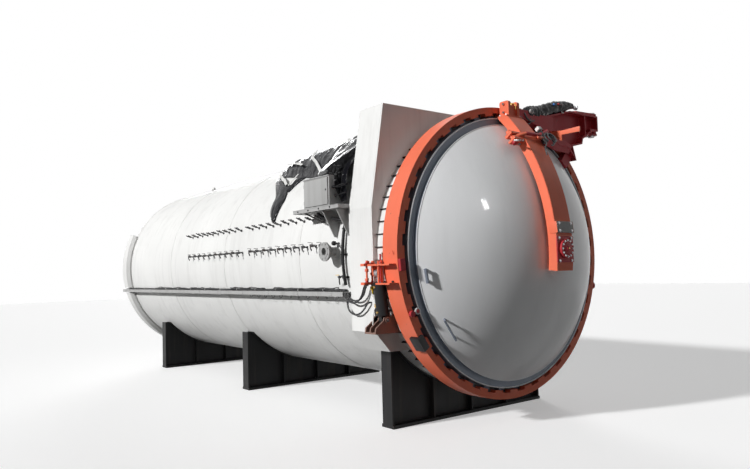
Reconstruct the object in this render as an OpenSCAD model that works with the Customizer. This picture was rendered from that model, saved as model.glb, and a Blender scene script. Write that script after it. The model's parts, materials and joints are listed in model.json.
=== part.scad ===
// Industrial autoclave: a horizontal pressure vessel with a quick-lock swing door.
// X runs along the vessel towards the door, Y across it, Z up. The origin is under the middle of the
// front saddle, on the floor. The door hinge is on the +Y side, the ring drive and pipework on -Y.

/* [Chamber] */
// Inside diameter of the chamber
bore_d = 3500; // [2900:20:4200]
// Thickness of the shell plate
wall_t = 30; // [20:1:40]
// Length of the rolled cylinder, from the rear seam to the door flange
shell_len = 9550; // [7900:50:11500]
// Height of the lock ring above the floor
floor_gap = 295; // [240:5:360]
// Crown radius of the rear head
crown_r = 2848; // [2800:10:3400]
// Knuckle radius of the rear head
knuckle_r = 548; // [460:2:640]
// Straight skirt of the rear head
skirt_len = 60; // [30:5:100]

/* [Lock ring] */
// How far the lock ring stands out past the shell
ring_stand = 125; // [110:1:150]
// Width of the lock ring along the vessel
ring_w = 265; // [250:1:318]
// Thickness of the toothed front lip
front_lip = 86; // [72:1:103]
// Thickness of the back lip
back_lip = 75; // [62:1:90]
// Number of teeth
teeth = 40; // [32:4:48]
// Height of a ring tooth
tooth_h = 34; // [29:1:40]
// Share of the pitch that a ring tooth fills
tooth_share = 0.51; // [0.48:0.01:0.52]
// Share of the pitch that a door tooth fills
door_tooth_share = 0.37; // [0.31:0.01:0.37]
// Turn of the ring from open to locked, in degrees
ring_turn = 4.5; // [3.6:0.1:5.4]

/* [Door] */
// Gap between the door rim and the ring teeth
rim_gap = 33; // [28:1:40]
// Height of a door tooth
door_tooth_h = 50; // [46:1:52]
// Thickness of the door flange
door_flange_t = 153; // [130:1:180]
// Width of the flat front face of the door flange
rim_face = 100; // [84:1:120]
// Height of the short cylinder between that face and the dome
rim_step = 44; // [36:1:53]
// Height of the domed door head
dome_h = 667; // [560:5:800]
// Thickness of the door head
dome_t = 40; // [33:1:48]
// Running gap between door and vessel
seal_gap = 5; // [5:1:6]
// Width of the support beam
beam_w = 306; // [255:2:330]
// Depth of the support beam
beam_d = 124; // [104:2:146]
// Gap between beam and dome
beam_gap = 37; // [31:1:44]
// Diameter of the boss in the middle of the door
boss_d = 236; // [200:2:280]

/* [Hinge] */
// How far the hinge pin stands out past the lock ring
hinge_out = 50; // [45:1:60]
// Diameter of the hinge pin
hinge_pin_d = 90; // [75:1:108]
// Height of the hinge barrel on the jib
barrel_h = 260; // [215:5:270]
// Height of the jib arm beside the hinge
jib_h = 245; // [205:5:290]
// Depth of the jib arm
jib_d = 125; // [104:1:150]

/* [Casing] */
// Length of the front casing along the vessel
casing_len = 477; // [400:5:570]
// Distance from the casing to the face of the lock ring
casing_back = 533; // [480:5:640]
// Thickness of the casing plates
casing_t = 12; // [10:1:15]
// Gap between the top of the shell and the casing
casing_rise = 100; // [84:1:120]
// Gap between the side of the shell and the casing
casing_side = 68; // [57:1:82]

/* [Supports] */
// Half width of a saddle
saddle_half = 1429; // [1200:10:1700]
// Length of a saddle foot along the vessel
saddle_len = 240; // [230:5:290]
// Distance from the front saddle to the middle one
middle_saddle = 3950; // [3300:50:4740]
// Distance from the front saddle to the rear one
rear_saddle = 7900; // [6900:50:8200]
// Diameter of the anchor bolt holes
anchor_d = 42; // [35:1:50]

/* [Services] */
// Number of ports in each row
ports = 20; // [16:2:24]
// Distance between ports
port_pitch = 229; // [190:1:229]
// Width of the cable tray
tray_w = 130; // [108:2:156]
// Length of the cable tray
tray_len = 9100; // [7600:50:9150]
// Diameter of the side nozzle flange
nozzle_flange_d = 250; // [210:5:300]
// Bore of the side nozzle
nozzle_bore_d = 100; // [84:2:118]

/* [Hidden] */

ROUND = 240;
SMALL = 48;
big = 4000;          // longer than any cut needs to be
seat = 0.3;          // gap where a curved piece sits on another
move_gap = 6;        // running gap between moving pieces
bore_r = bore_d / 2;
shell_r = bore_r + wall_t;
ring_r = shell_r + ring_stand;
axis_z = ring_r + floor_gap;

casing_x1 = 327;                          // front of the casing
casing_x0 = casing_x1 - casing_len;       // back of the casing
ring_x = casing_x1 + casing_back;         // front face of the lock ring
ring_x0 = ring_x - ring_w;
tooth_tip_r = ring_r - 112;
root_r = tooth_tip_r + tooth_h;
channel_r = ring_r - 35;
channel_x0 = ring_x0 + back_lip;
channel_x1 = ring_x - front_lip;
lip_x0 = channel_x0 + 5;                  // vessel lip inside the ring's channel
door_x0 = ring_x - 140;                   // back of the door flange
lip_x1 = door_x0 - seal_gap;
back_lip_r = shell_r + 15;                // bore of the ring's back lip
neck_r = back_lip_r - seat;               // journal that carries the ring
neck_x0 = ring_x0 - 12;
flange_x0 = neck_x0 - 43;                 // back of the vessel flange, end of the shell
shell_x0 = flange_x0 - shell_len;
pitch = 360 / teeth;

rim_r = tooth_tip_r - rim_gap;
rim_x = door_x0 + door_flange_t;          // flat face of the rim
dome_base_r = rim_r - rim_face;
dome_x = rim_x + rim_step;
dome_r = (dome_base_r * dome_base_r + dome_h * dome_h) / (2 * dome_h);
dome_cx = dome_x + dome_h - dome_r;       // centre of the dome's sphere
dome_in_r = sqrt(pow(dome_r - dome_t, 2) - pow(dome_x - dome_cx, 2));

beam_r0 = dome_r + beam_gap;
beam_r1 = beam_r0 + beam_d;
beam_head_z = rim_r - 15;                 // flat head of the beam, above the axis
beam_foot = 6;                            // degrees down
boss_x1 = dome_cx + beam_r1 + 40;

hinge_y = ring_r + hinge_out;
jib_z0 = ring_r - 145;                    // underside of the jib, above the axis
jib_top = jib_z0 + jib_h;
barrel_z1 = jib_top + 25;
barrel_z0 = barrel_z1 - barrel_h;
barrel_r = hinge_pin_d / 2 + 30;
hinge_plate_t = 25;
jib_x0 = 25;                              // back of the jib, in front of the ring
lug_t = 48;
lug_half = 108;                           // half the width over both lug plates
head_plate_t = 25;
arm_y = hinge_y + 55;                     // length that the outline of the jib is drawn to

casing_top = shell_r + casing_rise;
casing_half = shell_r + casing_side;
casing_top_half = shell_r - 155;
casing_knee = 572;
casing_low = 950;
casing_foot = 1200;

saddle_top = axis_z - casing_foot - 5;
wear_t = 12;
web_t = 40;
rib_t = 25;
base_t = 40;

gusset_h = 30;
boss_neck_d = 140;

tray_z = -467;
tray_h = 60;
tray_x1 = -330;
duct_y = -side_y(tray_z, shell_r) - 2 * seat;
port_z_up = 530;
port_z_low = 152;
port_x_up = -1000;
port_x_low = -820;
port_mid_gap = 180;
nozzle_x = -560;
nozzle_z = 60;
nozzle_reach = 190;

// Ring drive: the pivot points of the cylinder in the Y-Z plane, from the vessel axis.
drive_x = ring_x0 - 115;
eye_angle = 7.2;
eye_p = [-ring_r * cos(eye_angle), -ring_r * sin(eye_angle)];
foot_p = [eye_p[0] + 60, eye_p[1] - 551];
drive_len = norm(eye_p - foot_p);
drive_tilt = atan2(foot_p[0] - eye_p[0], eye_p[1] - foot_p[1]);
drive_pin_d = 50;
drive_barrel_d = 150;
cheek_out = 40;                           // drive axis to the inside of a cheek plate
cheek_t = 20;
cheek_r = 42;

paint_white = [0.90, 0.90, 0.88];
paint_orange = [0.90, 0.28, 0.12];
paint_red = [0.42, 0.09, 0.09];
paint_grey = [0.50, 0.50, 0.51];
black = [0.05, 0.05, 0.05];
steel = [0.60, 0.60, 0.62];

// The point at an angle and a distance.
function polar(a, r) = [r * cos(a), r * sin(a)];

// Half width of the shell at a height above the axis, for a circle of radius r.
function side_y(z, r) = sqrt(r * r - z * z);

// Draws in the Y-Z plane of the vessel and extrudes towards +X.
module along_x(x0, len) {
    translate([x0, 0, axis_z]) rotate([90, 0, 90]) linear_extrude(len) children();
}

// Turns a profile about the vessel axis: the profile's X is the radius, its Y runs along the vessel.
module about_axis(x0 = 0) {
    translate([x0, 0, axis_z]) rotate([90, 0, 90]) rotate_extrude($fn = ROUND) children();
}

module ring_2d(r1, r0) {
    difference() {
        circle(r1, $fn = ROUND);
        circle(r0, $fn = ROUND);
    }
}

module sector_2d(a0, a1, r) {
    steps = 4;
    polygon(concat([[0, 0]], [for (i = [0:steps]) polar(a0 + (a1 - a0) * i / steps, r)]));
}

// ---- vessel ----

module shell_stave(n) {
    color(paint_white)
    difference() {
        along_x(shell_x0, shell_len)
        intersection() {
            ring_2d(shell_r, bore_r);
            sector_2d(45 * (n - 1), 45 * n, 1.3 * shell_r);
        }
        nozzle_bore();
    }
}

// Half section of a dished head of outer radius r, with its base on the X axis and its crown towards -Y.
module head_2d(r, crown, knuckle, foot_r) {
    k = foot_r;
    drop = sqrt(pow(crown - knuckle, 2) - k * k);
    run = [-k, -drop] / norm([k, drop]);
    reach = crown + 500;
    union() {
        intersection() {
            translate([0, drop]) circle(crown, $fn = ROUND);
            polygon([[0, 0], [k, 0], [k - run[0] * knuckle * 1.5, run[1] * knuckle * 1.5], [0, -reach]]);
        }
        intersection() {
            translate([k, 0]) circle(knuckle, $fn = ROUND);
            translate([0, -big]) square([big, big]);
        }
        translate([0, -1]) square([r, skirt_len + 1]);
    }
}

module head_outer_2d(grow) {
    head_2d(shell_r + grow, crown_r + grow, knuckle_r + grow, shell_r - knuckle_r);
}

module rear_head() {
    color(paint_white)
    about_axis(shell_x0 - skirt_len)
    difference() {
        head_outer_2d(0);
        head_outer_2d(-wall_t);
        translate([-big, -big]) square([big, 2 * big]);
    }
}

// A stiff collar round the knuckle of the rear head, open over the top.
module rear_collar() {
    collar_r = shell_r + 100;
    collar_len = 330;
    from_side = 25;
    color(paint_white)
    difference() {
        translate([shell_x0 - skirt_len, 0, axis_z]) rotate([90, 0, 90])
        rotate([0, 0, 180 - from_side]) rotate_extrude(angle = 180 + 2 * from_side, $fn = ROUND)
        difference() {
            polygon([[shell_r - 30, 60], [shell_r + 35, 60], [collar_r, 0], [collar_r, 70 - collar_len],
                [collar_r - 60, -collar_len], [shell_r - 170, -collar_len]]);
            head_outer_2d(seat);
        }
        translate([shell_x0 - big, -2 * shell_r, axis_z + tray_z - tray_h - 20])
        cube([big + 100, 2 * shell_r + duct_y + 20, tray_h + 60]);
    }
}

module vessel_flange() {
    color(paint_grey)
    about_axis()
    difference() {
        union() {
            translate([bore_r, flange_x0]) square([wall_t, lip_x1 - flange_x0]);
            translate([bore_r, neck_x0]) square([neck_r - bore_r, lip_x1 - neck_x0]);
            translate([bore_r, lip_x0]) square([channel_r - 10 - bore_r, lip_x1 - lip_x0]);
        }
        translate([bore_r + 20, lip_x1 - 15]) square([24, 16]);
    }
}

module door_seal() {
    color(black)
    about_axis()
    translate([bore_r + 20 + seat, lip_x1 - 15 + seat]) square([24 - 2 * seat, 15 + seal_gap - 2 * seat]);
}

module casing_2d() {
    foot_half = side_y(casing_foot, shell_r) + 300;
    pts = [[casing_top_half, casing_top], [casing_half, casing_knee], [casing_half - 10, -casing_low],
        [foot_half, -casing_foot]];
    polygon(concat(pts, [for (i = [3:-1:0]) [-pts[i][0], pts[i][1]]]));
}

module casing_plate(x0, t) {
    along_x(x0, t)
    difference() {
        casing_2d();
        circle(shell_r + seat, $fn = ROUND);
        translate([-big, -2 * big - casing_foot]) square([2 * big, 2 * big]);
    }
}

module casing_front_plate() {
    color(paint_white) casing_plate(casing_x1 - 2 * casing_t, 2 * casing_t);
}

module casing_rear_plate() {
    color(paint_white) casing_plate(casing_x0, casing_t);
}

module casing_wrap() {
    color(paint_white)
    along_x(casing_x0 + casing_t, casing_len - 3 * casing_t)
    difference() {
        casing_2d();
        offset(delta = -casing_t) casing_2d();
        circle(shell_r + seat, $fn = ROUND);
    }
}

module flange_gussets() {
    count = 72;
    plate_t = 8;
    color(black)
    for (i = [0:count - 1])
        translate([casing_x1, 0, axis_z]) rotate([360 / count * (i + 0.5), 0, 0])
        translate([0, -plate_t / 2, shell_r + seat]) cube([neck_x0 - 8 - casing_x1, plate_t, gusset_h]);
}

module saddle_feet_holes(x) {
    for (dx = [-1, 1], dy = [-1, 1])
        translate([x + dx * (saddle_len / 2 - 70), dy * (saddle_half - 90), -1])
        cylinder(d = anchor_d, h = base_t + 2, $fn = SMALL);
}

module saddle(x) {
    rib_n = 5;
    rib_x0 = x - saddle_len / 2 + 20;
    rib_len = saddle_len - 40;
    rib_step = (2 * saddle_half - rib_t) / (rib_n - 1);
    wear_r = shell_r + seat + wear_t;
    color(black)
    difference() {
        union() {
            translate([x - saddle_len / 2, -saddle_half, 0]) cube([saddle_len, 2 * saddle_half, base_t]);
            translate([x - web_t / 2, -saddle_half, 0]) cube([web_t, 2 * saddle_half, saddle_top]);
            for (i = [0:rib_n - 1])
                translate([rib_x0, -saddle_half + rib_step * i, 0]) cube([rib_len, rib_t, saddle_top]);
            intersection() {
                along_x(rib_x0, rib_len) circle(wear_r, $fn = ROUND);
                translate([x - saddle_len, -saddle_half, 0])
                cube([2 * saddle_len, 2 * saddle_half, saddle_top]);
            }
        }
        along_x(x - saddle_len, 2 * saddle_len) circle(shell_r + seat, $fn = ROUND);
        saddle_feet_holes(x);
    }
}

module lifting_lugs() {
    lug_r = 75;
    ear_t = 40;
    eye_d = 70;
    eye_z = 90;
    color(paint_white)
    for (x = [shell_x0 + 630, -1900])
        difference() {
            translate([x, 0, axis_z + shell_r - 5])
            union() {
                translate([-lug_r, -ear_t / 2, 0]) cube([2 * lug_r, ear_t, eye_z]);
                translate([0, ear_t / 2, eye_z]) rotate([90, 0, 0])
                cylinder(r = lug_r, h = ear_t, $fn = SMALL);
            }
            translate([x, ear_t / 2 + 1, axis_z + shell_r - 5 + eye_z]) rotate([90, 0, 0])
            cylinder(d = eye_d, h = ear_t + 2, $fn = SMALL);
            along_x(x - 200, 400) circle(shell_r + seat, $fn = ROUND);
        }
}

// ---- services on the -Y side ----

// Outline of a small valved port along the radius: a root inside the shell, a pipe, a body and a cap.
port_root = 40;
up_pipe_d = 36;
low_pipe_d = 30;

module port_up() {
    body_at = 60;
    cap_at = 100;
    translate([-port_root, 0, 0]) rotate([0, 90, 0])
    cylinder(d = up_pipe_d, h = port_root + 75, $fn = SMALL);
    translate([body_at, 0, 0]) rotate([0, 90, 0]) cylinder(d = 62, h = 44, $fn = SMALL);
    translate([cap_at, 0, 0]) rotate([0, 90, 0]) cylinder(d = 40, h = 46, $fn = SMALL);
}

module port_low() {
    body_at = 70;
    body_h = 110;
    stem_h = 26;
    lever = [16, 90, 12];
    translate([-port_root, 0, 0]) rotate([0, 90, 0])
    cylinder(d = low_pipe_d, h = port_root + body_at, $fn = SMALL);
    translate([body_at, 0, -body_h / 2]) cylinder(d = 46, h = body_h, $fn = SMALL);
    translate([body_at, 0, body_h / 2 - 5]) cylinder(d = 20, h = stem_h, $fn = SMALL);
    translate([body_at, -lever[1] / 2, 66]) cube(lever);
}

// Puts children on the outside of the shell on the -Y side at height z, with +X pointing outwards.
module on_side(x, z) {
    translate([x, 0, axis_z]) rotate([-asin(z / shell_r), 0, 0])
    translate([0, -shell_r - seat, 0]) rotate([0, 0, -90]) children();
}

module port_row(x0, z) {
    for (i = [0:ports - 1]) {
        step = i * port_pitch + (i >= ports / 2 ? port_mid_gap : 0);
        on_side(x0 - step, z) children();
    }
}

module port_trim() {
    along_x(shell_x0, shell_len + big) circle(shell_r + seat, $fn = ROUND);
}

module upper_ports() {
    color(steel)
    difference() {
        port_row(port_x_up, port_z_up) port_up();
        port_trim();
    }
}

module lower_ports() {
    color(steel)
    difference() {
        port_row(port_x_low, port_z_low) port_low();
        port_trim();
    }
}

// Closed cable duct along the side, on brackets from the shell.
module cable_duct() {
    bracket_n = 8;
    bracket = [50, tray_w + 200, 8];
    x0 = tray_x1 - tray_len;
    first_x = x0 + 700;
    bracket_step = (tray_len - 900) / (bracket_n - 1);
    bottom = axis_z + tray_z - tray_h;
    color(paint_grey)
    difference() {
        union() {
            translate([x0, duct_y - tray_w, bottom]) cube([tray_len, tray_w, tray_h]);
            for (i = [0:bracket_n - 1])
                translate([first_x + bracket_step * i, duct_y - tray_w, bottom - bracket[2]]) cube(bracket);
        }
        port_trim();
    }
}

shelf_x0 = -1250;
shelf_y = side_y(600, shell_r) + 335;
shelf_z = 600;
shelf_t = 50;
cabinet_x0 = -1000;
cabinet_x1 = -370;
cabinet_d = 230;
cabinet_h = 400;

module side_shelf() {
    shelf_w = shelf_y - 1200;
    brace_t = 20;
    brace_y = -1400;
    brace_z = 250;
    color(paint_grey)
    difference() {
        union() {
            translate([shelf_x0, -shelf_y, axis_z + shelf_z])
            cube([casing_x0 - seat - shelf_x0, shelf_w, shelf_t]);
            for (x = [-560, -240])
                translate([x, 0, axis_z]) rotate([90, 0, 90]) linear_extrude(brace_t)
                polygon([[-shelf_y + 20, shelf_z + 1], [brace_y, shelf_z + 1], [brace_y, brace_z],
                    [-side_y(brace_z, shell_r) - 40, brace_z]]);
        }
        port_trim();
    }
}

module control_cabinet() {
    color(paint_grey)
    translate([cabinet_x0, -shelf_y + 5, axis_z + shelf_z + shelf_t])
    cube([cabinet_x1 - cabinet_x0, cabinet_d, cabinet_h]);
}

// A pipe bent round the shell in front of the port rows, clipped to it. Angles count up from the side.
module conduit() {
    pipe_x = -340;
    pipe_d = 44;
    pipe_out = 45;
    from_a = -12;
    to_a = 13.5;
    clip_a = 0.8;
    clip_w = 60;
    color(black)
    translate([pipe_x, 0, axis_z]) rotate([90, 0, 90])
    union() {
        rotate([0, 0, 180 - to_a]) rotate_extrude(angle = to_a - from_a, $fn = ROUND)
        translate([shell_r + pipe_out, 0]) circle(d = pipe_d, $fn = SMALL);
        for (a = [-9, 10])
            rotate([0, 0, 180 - a]) rotate_extrude(angle = clip_a, $fn = ROUND)
            translate([shell_r + 1, -clip_w / 2]) square([pipe_out, clip_w]);
    }
}

// Puts children on the axis of the side nozzle, a distance out from the shell, with +Z pointing outwards.
module on_nozzle(out) {
    translate([nozzle_x, -shell_r - out, axis_z + nozzle_z]) rotate([90, 0, 0]) children();
}

// The way from the nozzle's face through the wall of the shell.
module nozzle_bore() {
    on_nozzle(-2 * wall_t) cylinder(d = nozzle_bore_d, h = 2 * wall_t + nozzle_reach + 1, $fn = SMALL);
}

module side_nozzle() {
    bolt_n = 8;
    bolt_hole_d = 18;
    flange_t = 28;
    pipe_len = 2 * wall_t + nozzle_reach;
    color(paint_grey)
    difference() {
        union() {
            on_nozzle(-2 * wall_t) cylinder(d = nozzle_bore_d + 20, h = pipe_len, $fn = SMALL);
            on_nozzle(nozzle_reach - flange_t) cylinder(d = nozzle_flange_d, h = flange_t, $fn = SMALL);
        }
        port_trim();
        nozzle_bore();
        for (i = [0:bolt_n - 1])
            on_nozzle(nozzle_reach - flange_t - 2) rotate([0, 0, 360 / bolt_n * (i + 0.5)])
            translate([nozzle_flange_d / 2 - 24, 0, 0]) cylinder(d = bolt_hole_d, h = flange_t + 6, $fn = 24);
    }
}

// Outer form of the plastic sheeting over the pipework on the shoulder, with its loose tail. Its sections
// are lists of angle and height above the shell.
module shoulder_wrap() {
    r = shell_r + 1;
    top = cabinet_h + shelf_z + shelf_t + seat;
    rear_x = -3000;
    join_x = -1250;
    tail_x = -2800;
    tail_w = 420;
    tail_a = 47;
    rear_form = [[46, -20], [46, 40], [52, 150], [60, 215], [66, 190], [71, 60], [71, -20]];
    front_form = [[44, 290], [52, 300], [60, 290], [68, 270], [75, 90], [75, -20], [40, -20]];
    function at(form) = [for (p = form) [-(r + p[1]) * cos(p[0]), (r + p[1]) * sin(p[0])]];
    color(black)
    difference() {
        union() {
            along_x(rear_x, join_x - rear_x + 1) polygon(at(rear_form));
            along_x(join_x, casing_x0 - seat - join_x)
            polygon(concat([[-shelf_y, top], [-shelf_y, top + 90]], at(front_form),
                [[-side_y(top, r) + 40, top]]));
            along_x(tail_x, tail_w)
            intersection() {
                ring_2d(r + 30, r - 10);
                rotate(180) mirror([0, 1]) sector_2d(asin((port_z_up + 95) / shell_r), tail_a, 1.3 * r);
            }
        }
        port_trim();
    }
}

// Fixed frame beside the ring that holds the interlock rods: two plates on the casing with rods between.
frame_low = -372;                         // underside of the lower plate, from the axis
frame_high = -150;
frame_t = 30;

module interlock_frame() {
    out = casing_half + 190;
    depth = 70;
    rod_d = 26;
    rod_x = 45;
    rods = [[60, 290], [140, 250]];       // distance in from the edge, and length
    color(paint_orange)
    translate([casing_x1, 0, axis_z])
    union() {
        for (z = [frame_low, frame_high])
            translate([0, -out, z]) cube([depth, out - shell_r - gusset_h - 5, frame_t]);
        for (rod = rods)
            translate([rod_x, rod[0] - out, frame_low]) cylinder(d = rod_d, h = rod[1], $fn = SMALL);
    }
}

// Bleed valve with its drain pipe, hung under the interlock frame.
module bleed_valve() {
    pipe_len = 450;
    pipe_d = 30;
    body_z = -110;
    body_d = 56;
    body_h = 70;
    handle = [24, 100, 14];
    color("gold")
    translate([casing_x1 + 38, -casing_half - 32, axis_z + frame_low - seat])
    union() {
        translate([0, 0, -pipe_len]) cylinder(d = pipe_d, h = pipe_len, $fn = SMALL);
        translate([0, 0, body_z]) cylinder(d = body_d, h = body_h, $fn = SMALL);
        translate([-handle[0] / 2, -60, -30]) cube(handle);
    }
}

// Foot of the ring drive: a floor plate on the casing with three upright plates and the lower pin.
module drive_bracket() {
    outline = [[-170, -155], [-160, -90], [-52, -11], [118, 67], [203, -159]];
    floor_t = 20;
    color(black)
    difference() {
        union() {
            for (x = [casing_x1, drive_x - cheek_out - cheek_t, drive_x + cheek_out])
                along_x(x, cheek_t)
                translate(foot_p)
                union() {
                    polygon(outline);
                    circle(cheek_r, $fn = SMALL);
                }
            translate([casing_x1, foot_p[0] + outline[0][0], axis_z + foot_p[1] + outline[4][1]])
            cube([drive_x + cheek_out + cheek_t - casing_x1, outline[4][0] - outline[0][0], floor_t]);
            translate([drive_x - cheek_out - cheek_t, foot_p[0], axis_z + foot_p[1]]) rotate([0, 90, 0])
            cylinder(d = drive_pin_d, h = 2 * (cheek_out + cheek_t), $fn = SMALL);
        }
        along_x(casing_x1 - 1, ring_x) circle(shell_r + gusset_h + 8, $fn = ROUND);
    }
}

// Plan of a hinge plate from the pin back to the casing; nose is the reach in front of the ring.
plate_inner = side_y(barrel_z0 - hinge_plate_t - 30, ring_r) + 60;

module hinge_plate_2d(nose) {
    tab = [40, 60];
    difference() {
        hull() {
            translate([0, hinge_y]) circle(barrel_r + 10, $fn = SMALL);
            translate([casing_x1 - ring_x, casing_top_half - tab[1] - 20]) square(tab);
            translate([casing_x1 - ring_x, plate_inner]) square(tab);
            if (nose > 0) translate([nose - tab[0], 0.79 * hinge_y]) square(tab);
        }
        translate([0, hinge_y]) circle(d = hinge_pin_d + 2 * seat, $fn = SMALL);
    }
}

module hinge_bracket() {
    low = barrel_z0 - move_gap - hinge_plate_t;
    high = barrel_z1 + move_gap;
    nose = 50;
    back_x = casing_x1 - ring_x;
    back_t = 25;
    foot_drop = 40;
    web_x = -barrel_r - 60;
    web_y = hinge_y - 90;
    gusset = [450, 200];
    color(paint_red)
    translate([ring_x, 0, axis_z])
    union() {
        translate([0, 0, low]) linear_extrude(hinge_plate_t) hinge_plate_2d(0);
        translate([0, 0, high]) linear_extrude(hinge_plate_t) hinge_plate_2d(nose);
        translate([back_x, plate_inner, low - foot_drop])
        cube([back_t, casing_top_half - 20 - plate_inner, high - low + foot_drop + hinge_plate_t]);
        translate([0, 0, low + 1]) linear_extrude(high - low)
        polygon([[back_x, plate_inner + 40], [back_x, plate_inner + 70],
            [web_x, web_y], [web_x, web_y - 40]]);
        translate([back_x, casing_top_half - 60, 0]) rotate([90, 0, 0]) linear_extrude(back_t)
        polygon([[0, low + 1], [gusset[0], low + 1], [0, low - gusset[1]]]);
    }
}

module hinge_pin() {
    tail = 30;
    head_t = 20;
    color(steel)
    translate([ring_x, hinge_y, axis_z])
    union() {
        translate([0, 0, barrel_z0 - hinge_plate_t - tail])
        cylinder(d = hinge_pin_d, h = barrel_h + 2 * (hinge_plate_t + tail), $fn = SMALL);
        translate([0, 0, barrel_z1 + move_gap + hinge_plate_t + seat])
        cylinder(d = hinge_pin_d + 40, h = head_t, $fn = SMALL);
    }
}

// ---- hanging cables ----

cable_d = 22;
upper_a = [
    [-330, -1786, 1712], [-315, -1786, 1712], [-295, -1786, 1712], [-230, -1840, 1692], [-160, -1884, 1668],
    [-80, -1895, 1645], [20, -1900, 1630], [120, -1902, 1650], [200, -1904, 1710], [250, -1905, 1800],
    [290, -1905, 1850], [310, -1905, 1850], [327, -1905, 1850]];
upper_b = [
    [-330, -1826, 1712], [-315, -1826, 1712], [-290, -1826, 1712], [-230, -1880, 1684], [-160, -1915, 1655],
    [-80, -1930, 1625], [20, -1938, 1605], [120, -1940, 1625], [205, -1942, 1690], [255, -1943, 1785],
    [290, -1943, 1842], [310, -1943, 1842], [327, -1943, 1842]];
lower_c = [
    [-330, -1750, 1706], [-315, -1750, 1706], [-295, -1750, 1706], [-250, -1800, 1670], [-200, -1865, 1590],
    [-130, -1885, 1500], [-20, -1888, 1460], [80, -1888, 1470], [170, -1890, 1520], [230, -1892, 1575],
    [262, -1885, 1608], [270, -1865, 1612], [270, -1852, 1612], [270, -1841, 1612]];

function unit(v) = v / norm(v);
function path_dir(p, i) = unit(p[min(i + 1, len(p) - 1)] - p[max(i - 1, 0)]);
function mix3(p, i, t) = let (a = p[max(i - 1, 0)], b = p[i], c = p[i + 1], d = p[min(i + 2, len(p) - 1)])
    0.5 * (2 * b + (c - a) * t + (2 * a - 5 * b + 4 * c - d) * t * t + (3 * b - 3 * c + d - a) * t * t * t);
function smooth(p, n) =
    concat([for (i = [0:len(p) - 2], k = [0:n - 1]) mix3(p, i, k / n)], [p[len(p) - 1]]);

module cable(route) {
    sides = 8;
    path = smooth(route, 3);
    count = len(path);
    rings = [for (i = [0:count - 1])
        let (d = path_dir(path, i), u = unit(cross(d, [0, 0, 1])), v = cross(u, d))
        for (k = [0:sides - 1])
            path[i] + cable_d / 2 * (u * cos(360 / sides * k) + v * sin(360 / sides * k))];
    walls = [for (i = [0:count - 2], k = [0:sides - 1])
        let (a = i * sides + k, b = i * sides + (k + 1) % sides)
        each [[a, b, b + sides], [a, b + sides, a + sides]]];
    first_cap = [for (k = [sides - 1:-1:0]) k];
    last_cap = [for (k = [0:sides - 1]) (count - 1) * sides + k];
    color(black)
    polyhedron(rings, concat(walls, [first_cap, last_cap]));
}

// ---- lock ring ----

module ring_tooth_2d(share, r0, r1) {
    half = pitch * share / 2;
    for (i = [0:teeth - 1])
        rotate(pitch * (i + 0.5))
        polygon([polar(-half, r0), polar(-half, r1), [r1, 0], polar(half, r1), polar(half, r0), [r0, 0]]);
}

module lock_ring() {
    color(paint_orange)
    difference() {
        union() {
            about_axis()
            difference() {
                translate([back_lip_r, ring_x0]) square([ring_r - back_lip_r, ring_w]);
                translate([0, channel_x0]) square([channel_r, channel_x1 - channel_x0]);
                translate([0, channel_x1 - 1]) square([root_r, front_lip + 2]);
            }
            along_x(channel_x1, front_lip) difference() {
                ring_2d(root_r + 8, tooth_tip_r);
                ring_tooth_2d(1 - tooth_share, tooth_tip_r - 20, root_r);
            }
        }
    }
}

// Ear on the ring that the drive pushes: an upper plate with two cheeks, and a lower plate on rods.
module ring_ear() {
    out = ring_r + 100;
    root = ring_r - 80;
    high = -150;
    low = -370;
    plate_t = 20;
    rod_x = drive_x + 115;
    rod_d = 24;
    cheek_x = drive_x - cheek_out - cheek_t;
    cheek_half = 55;
    plates = [[high, cheek_x], [low, drive_x + 90]];      // height and back edge of each plate
    color(paint_orange)
    translate([0, 0, axis_z])
    difference() {
        union() {
            for (plate = plates)
                translate([plate[1], -out, plate[0]]) cube([ring_x - 30 - plate[1], out - root, plate_t]);
            for (y = [-out + 30, -out + 75])
                translate([rod_x, y, low]) cylinder(d = rod_d, h = high - low + 60, $fn = SMALL);
            for (x = [cheek_x, drive_x + cheek_out])
                translate([x, 0, 0]) rotate([90, 0, 90]) linear_extrude(cheek_t)
                hull() {
                    translate(eye_p) circle(cheek_r, $fn = SMALL);
                    translate([eye_p[0] - cheek_half, high]) square([2 * cheek_half, 5]);
                }
            translate([cheek_x, eye_p[0], eye_p[1]]) rotate([0, 90, 0])
            cylinder(d = drive_pin_d, h = 2 * (cheek_out + cheek_t), $fn = SMALL);
        }
        translate([ring_x0 - 1, 0, 0]) rotate([0, 90, 0])
        cylinder(r = ring_r + seat, h = ring_w + 2, $fn = ROUND);
    }
}

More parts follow.
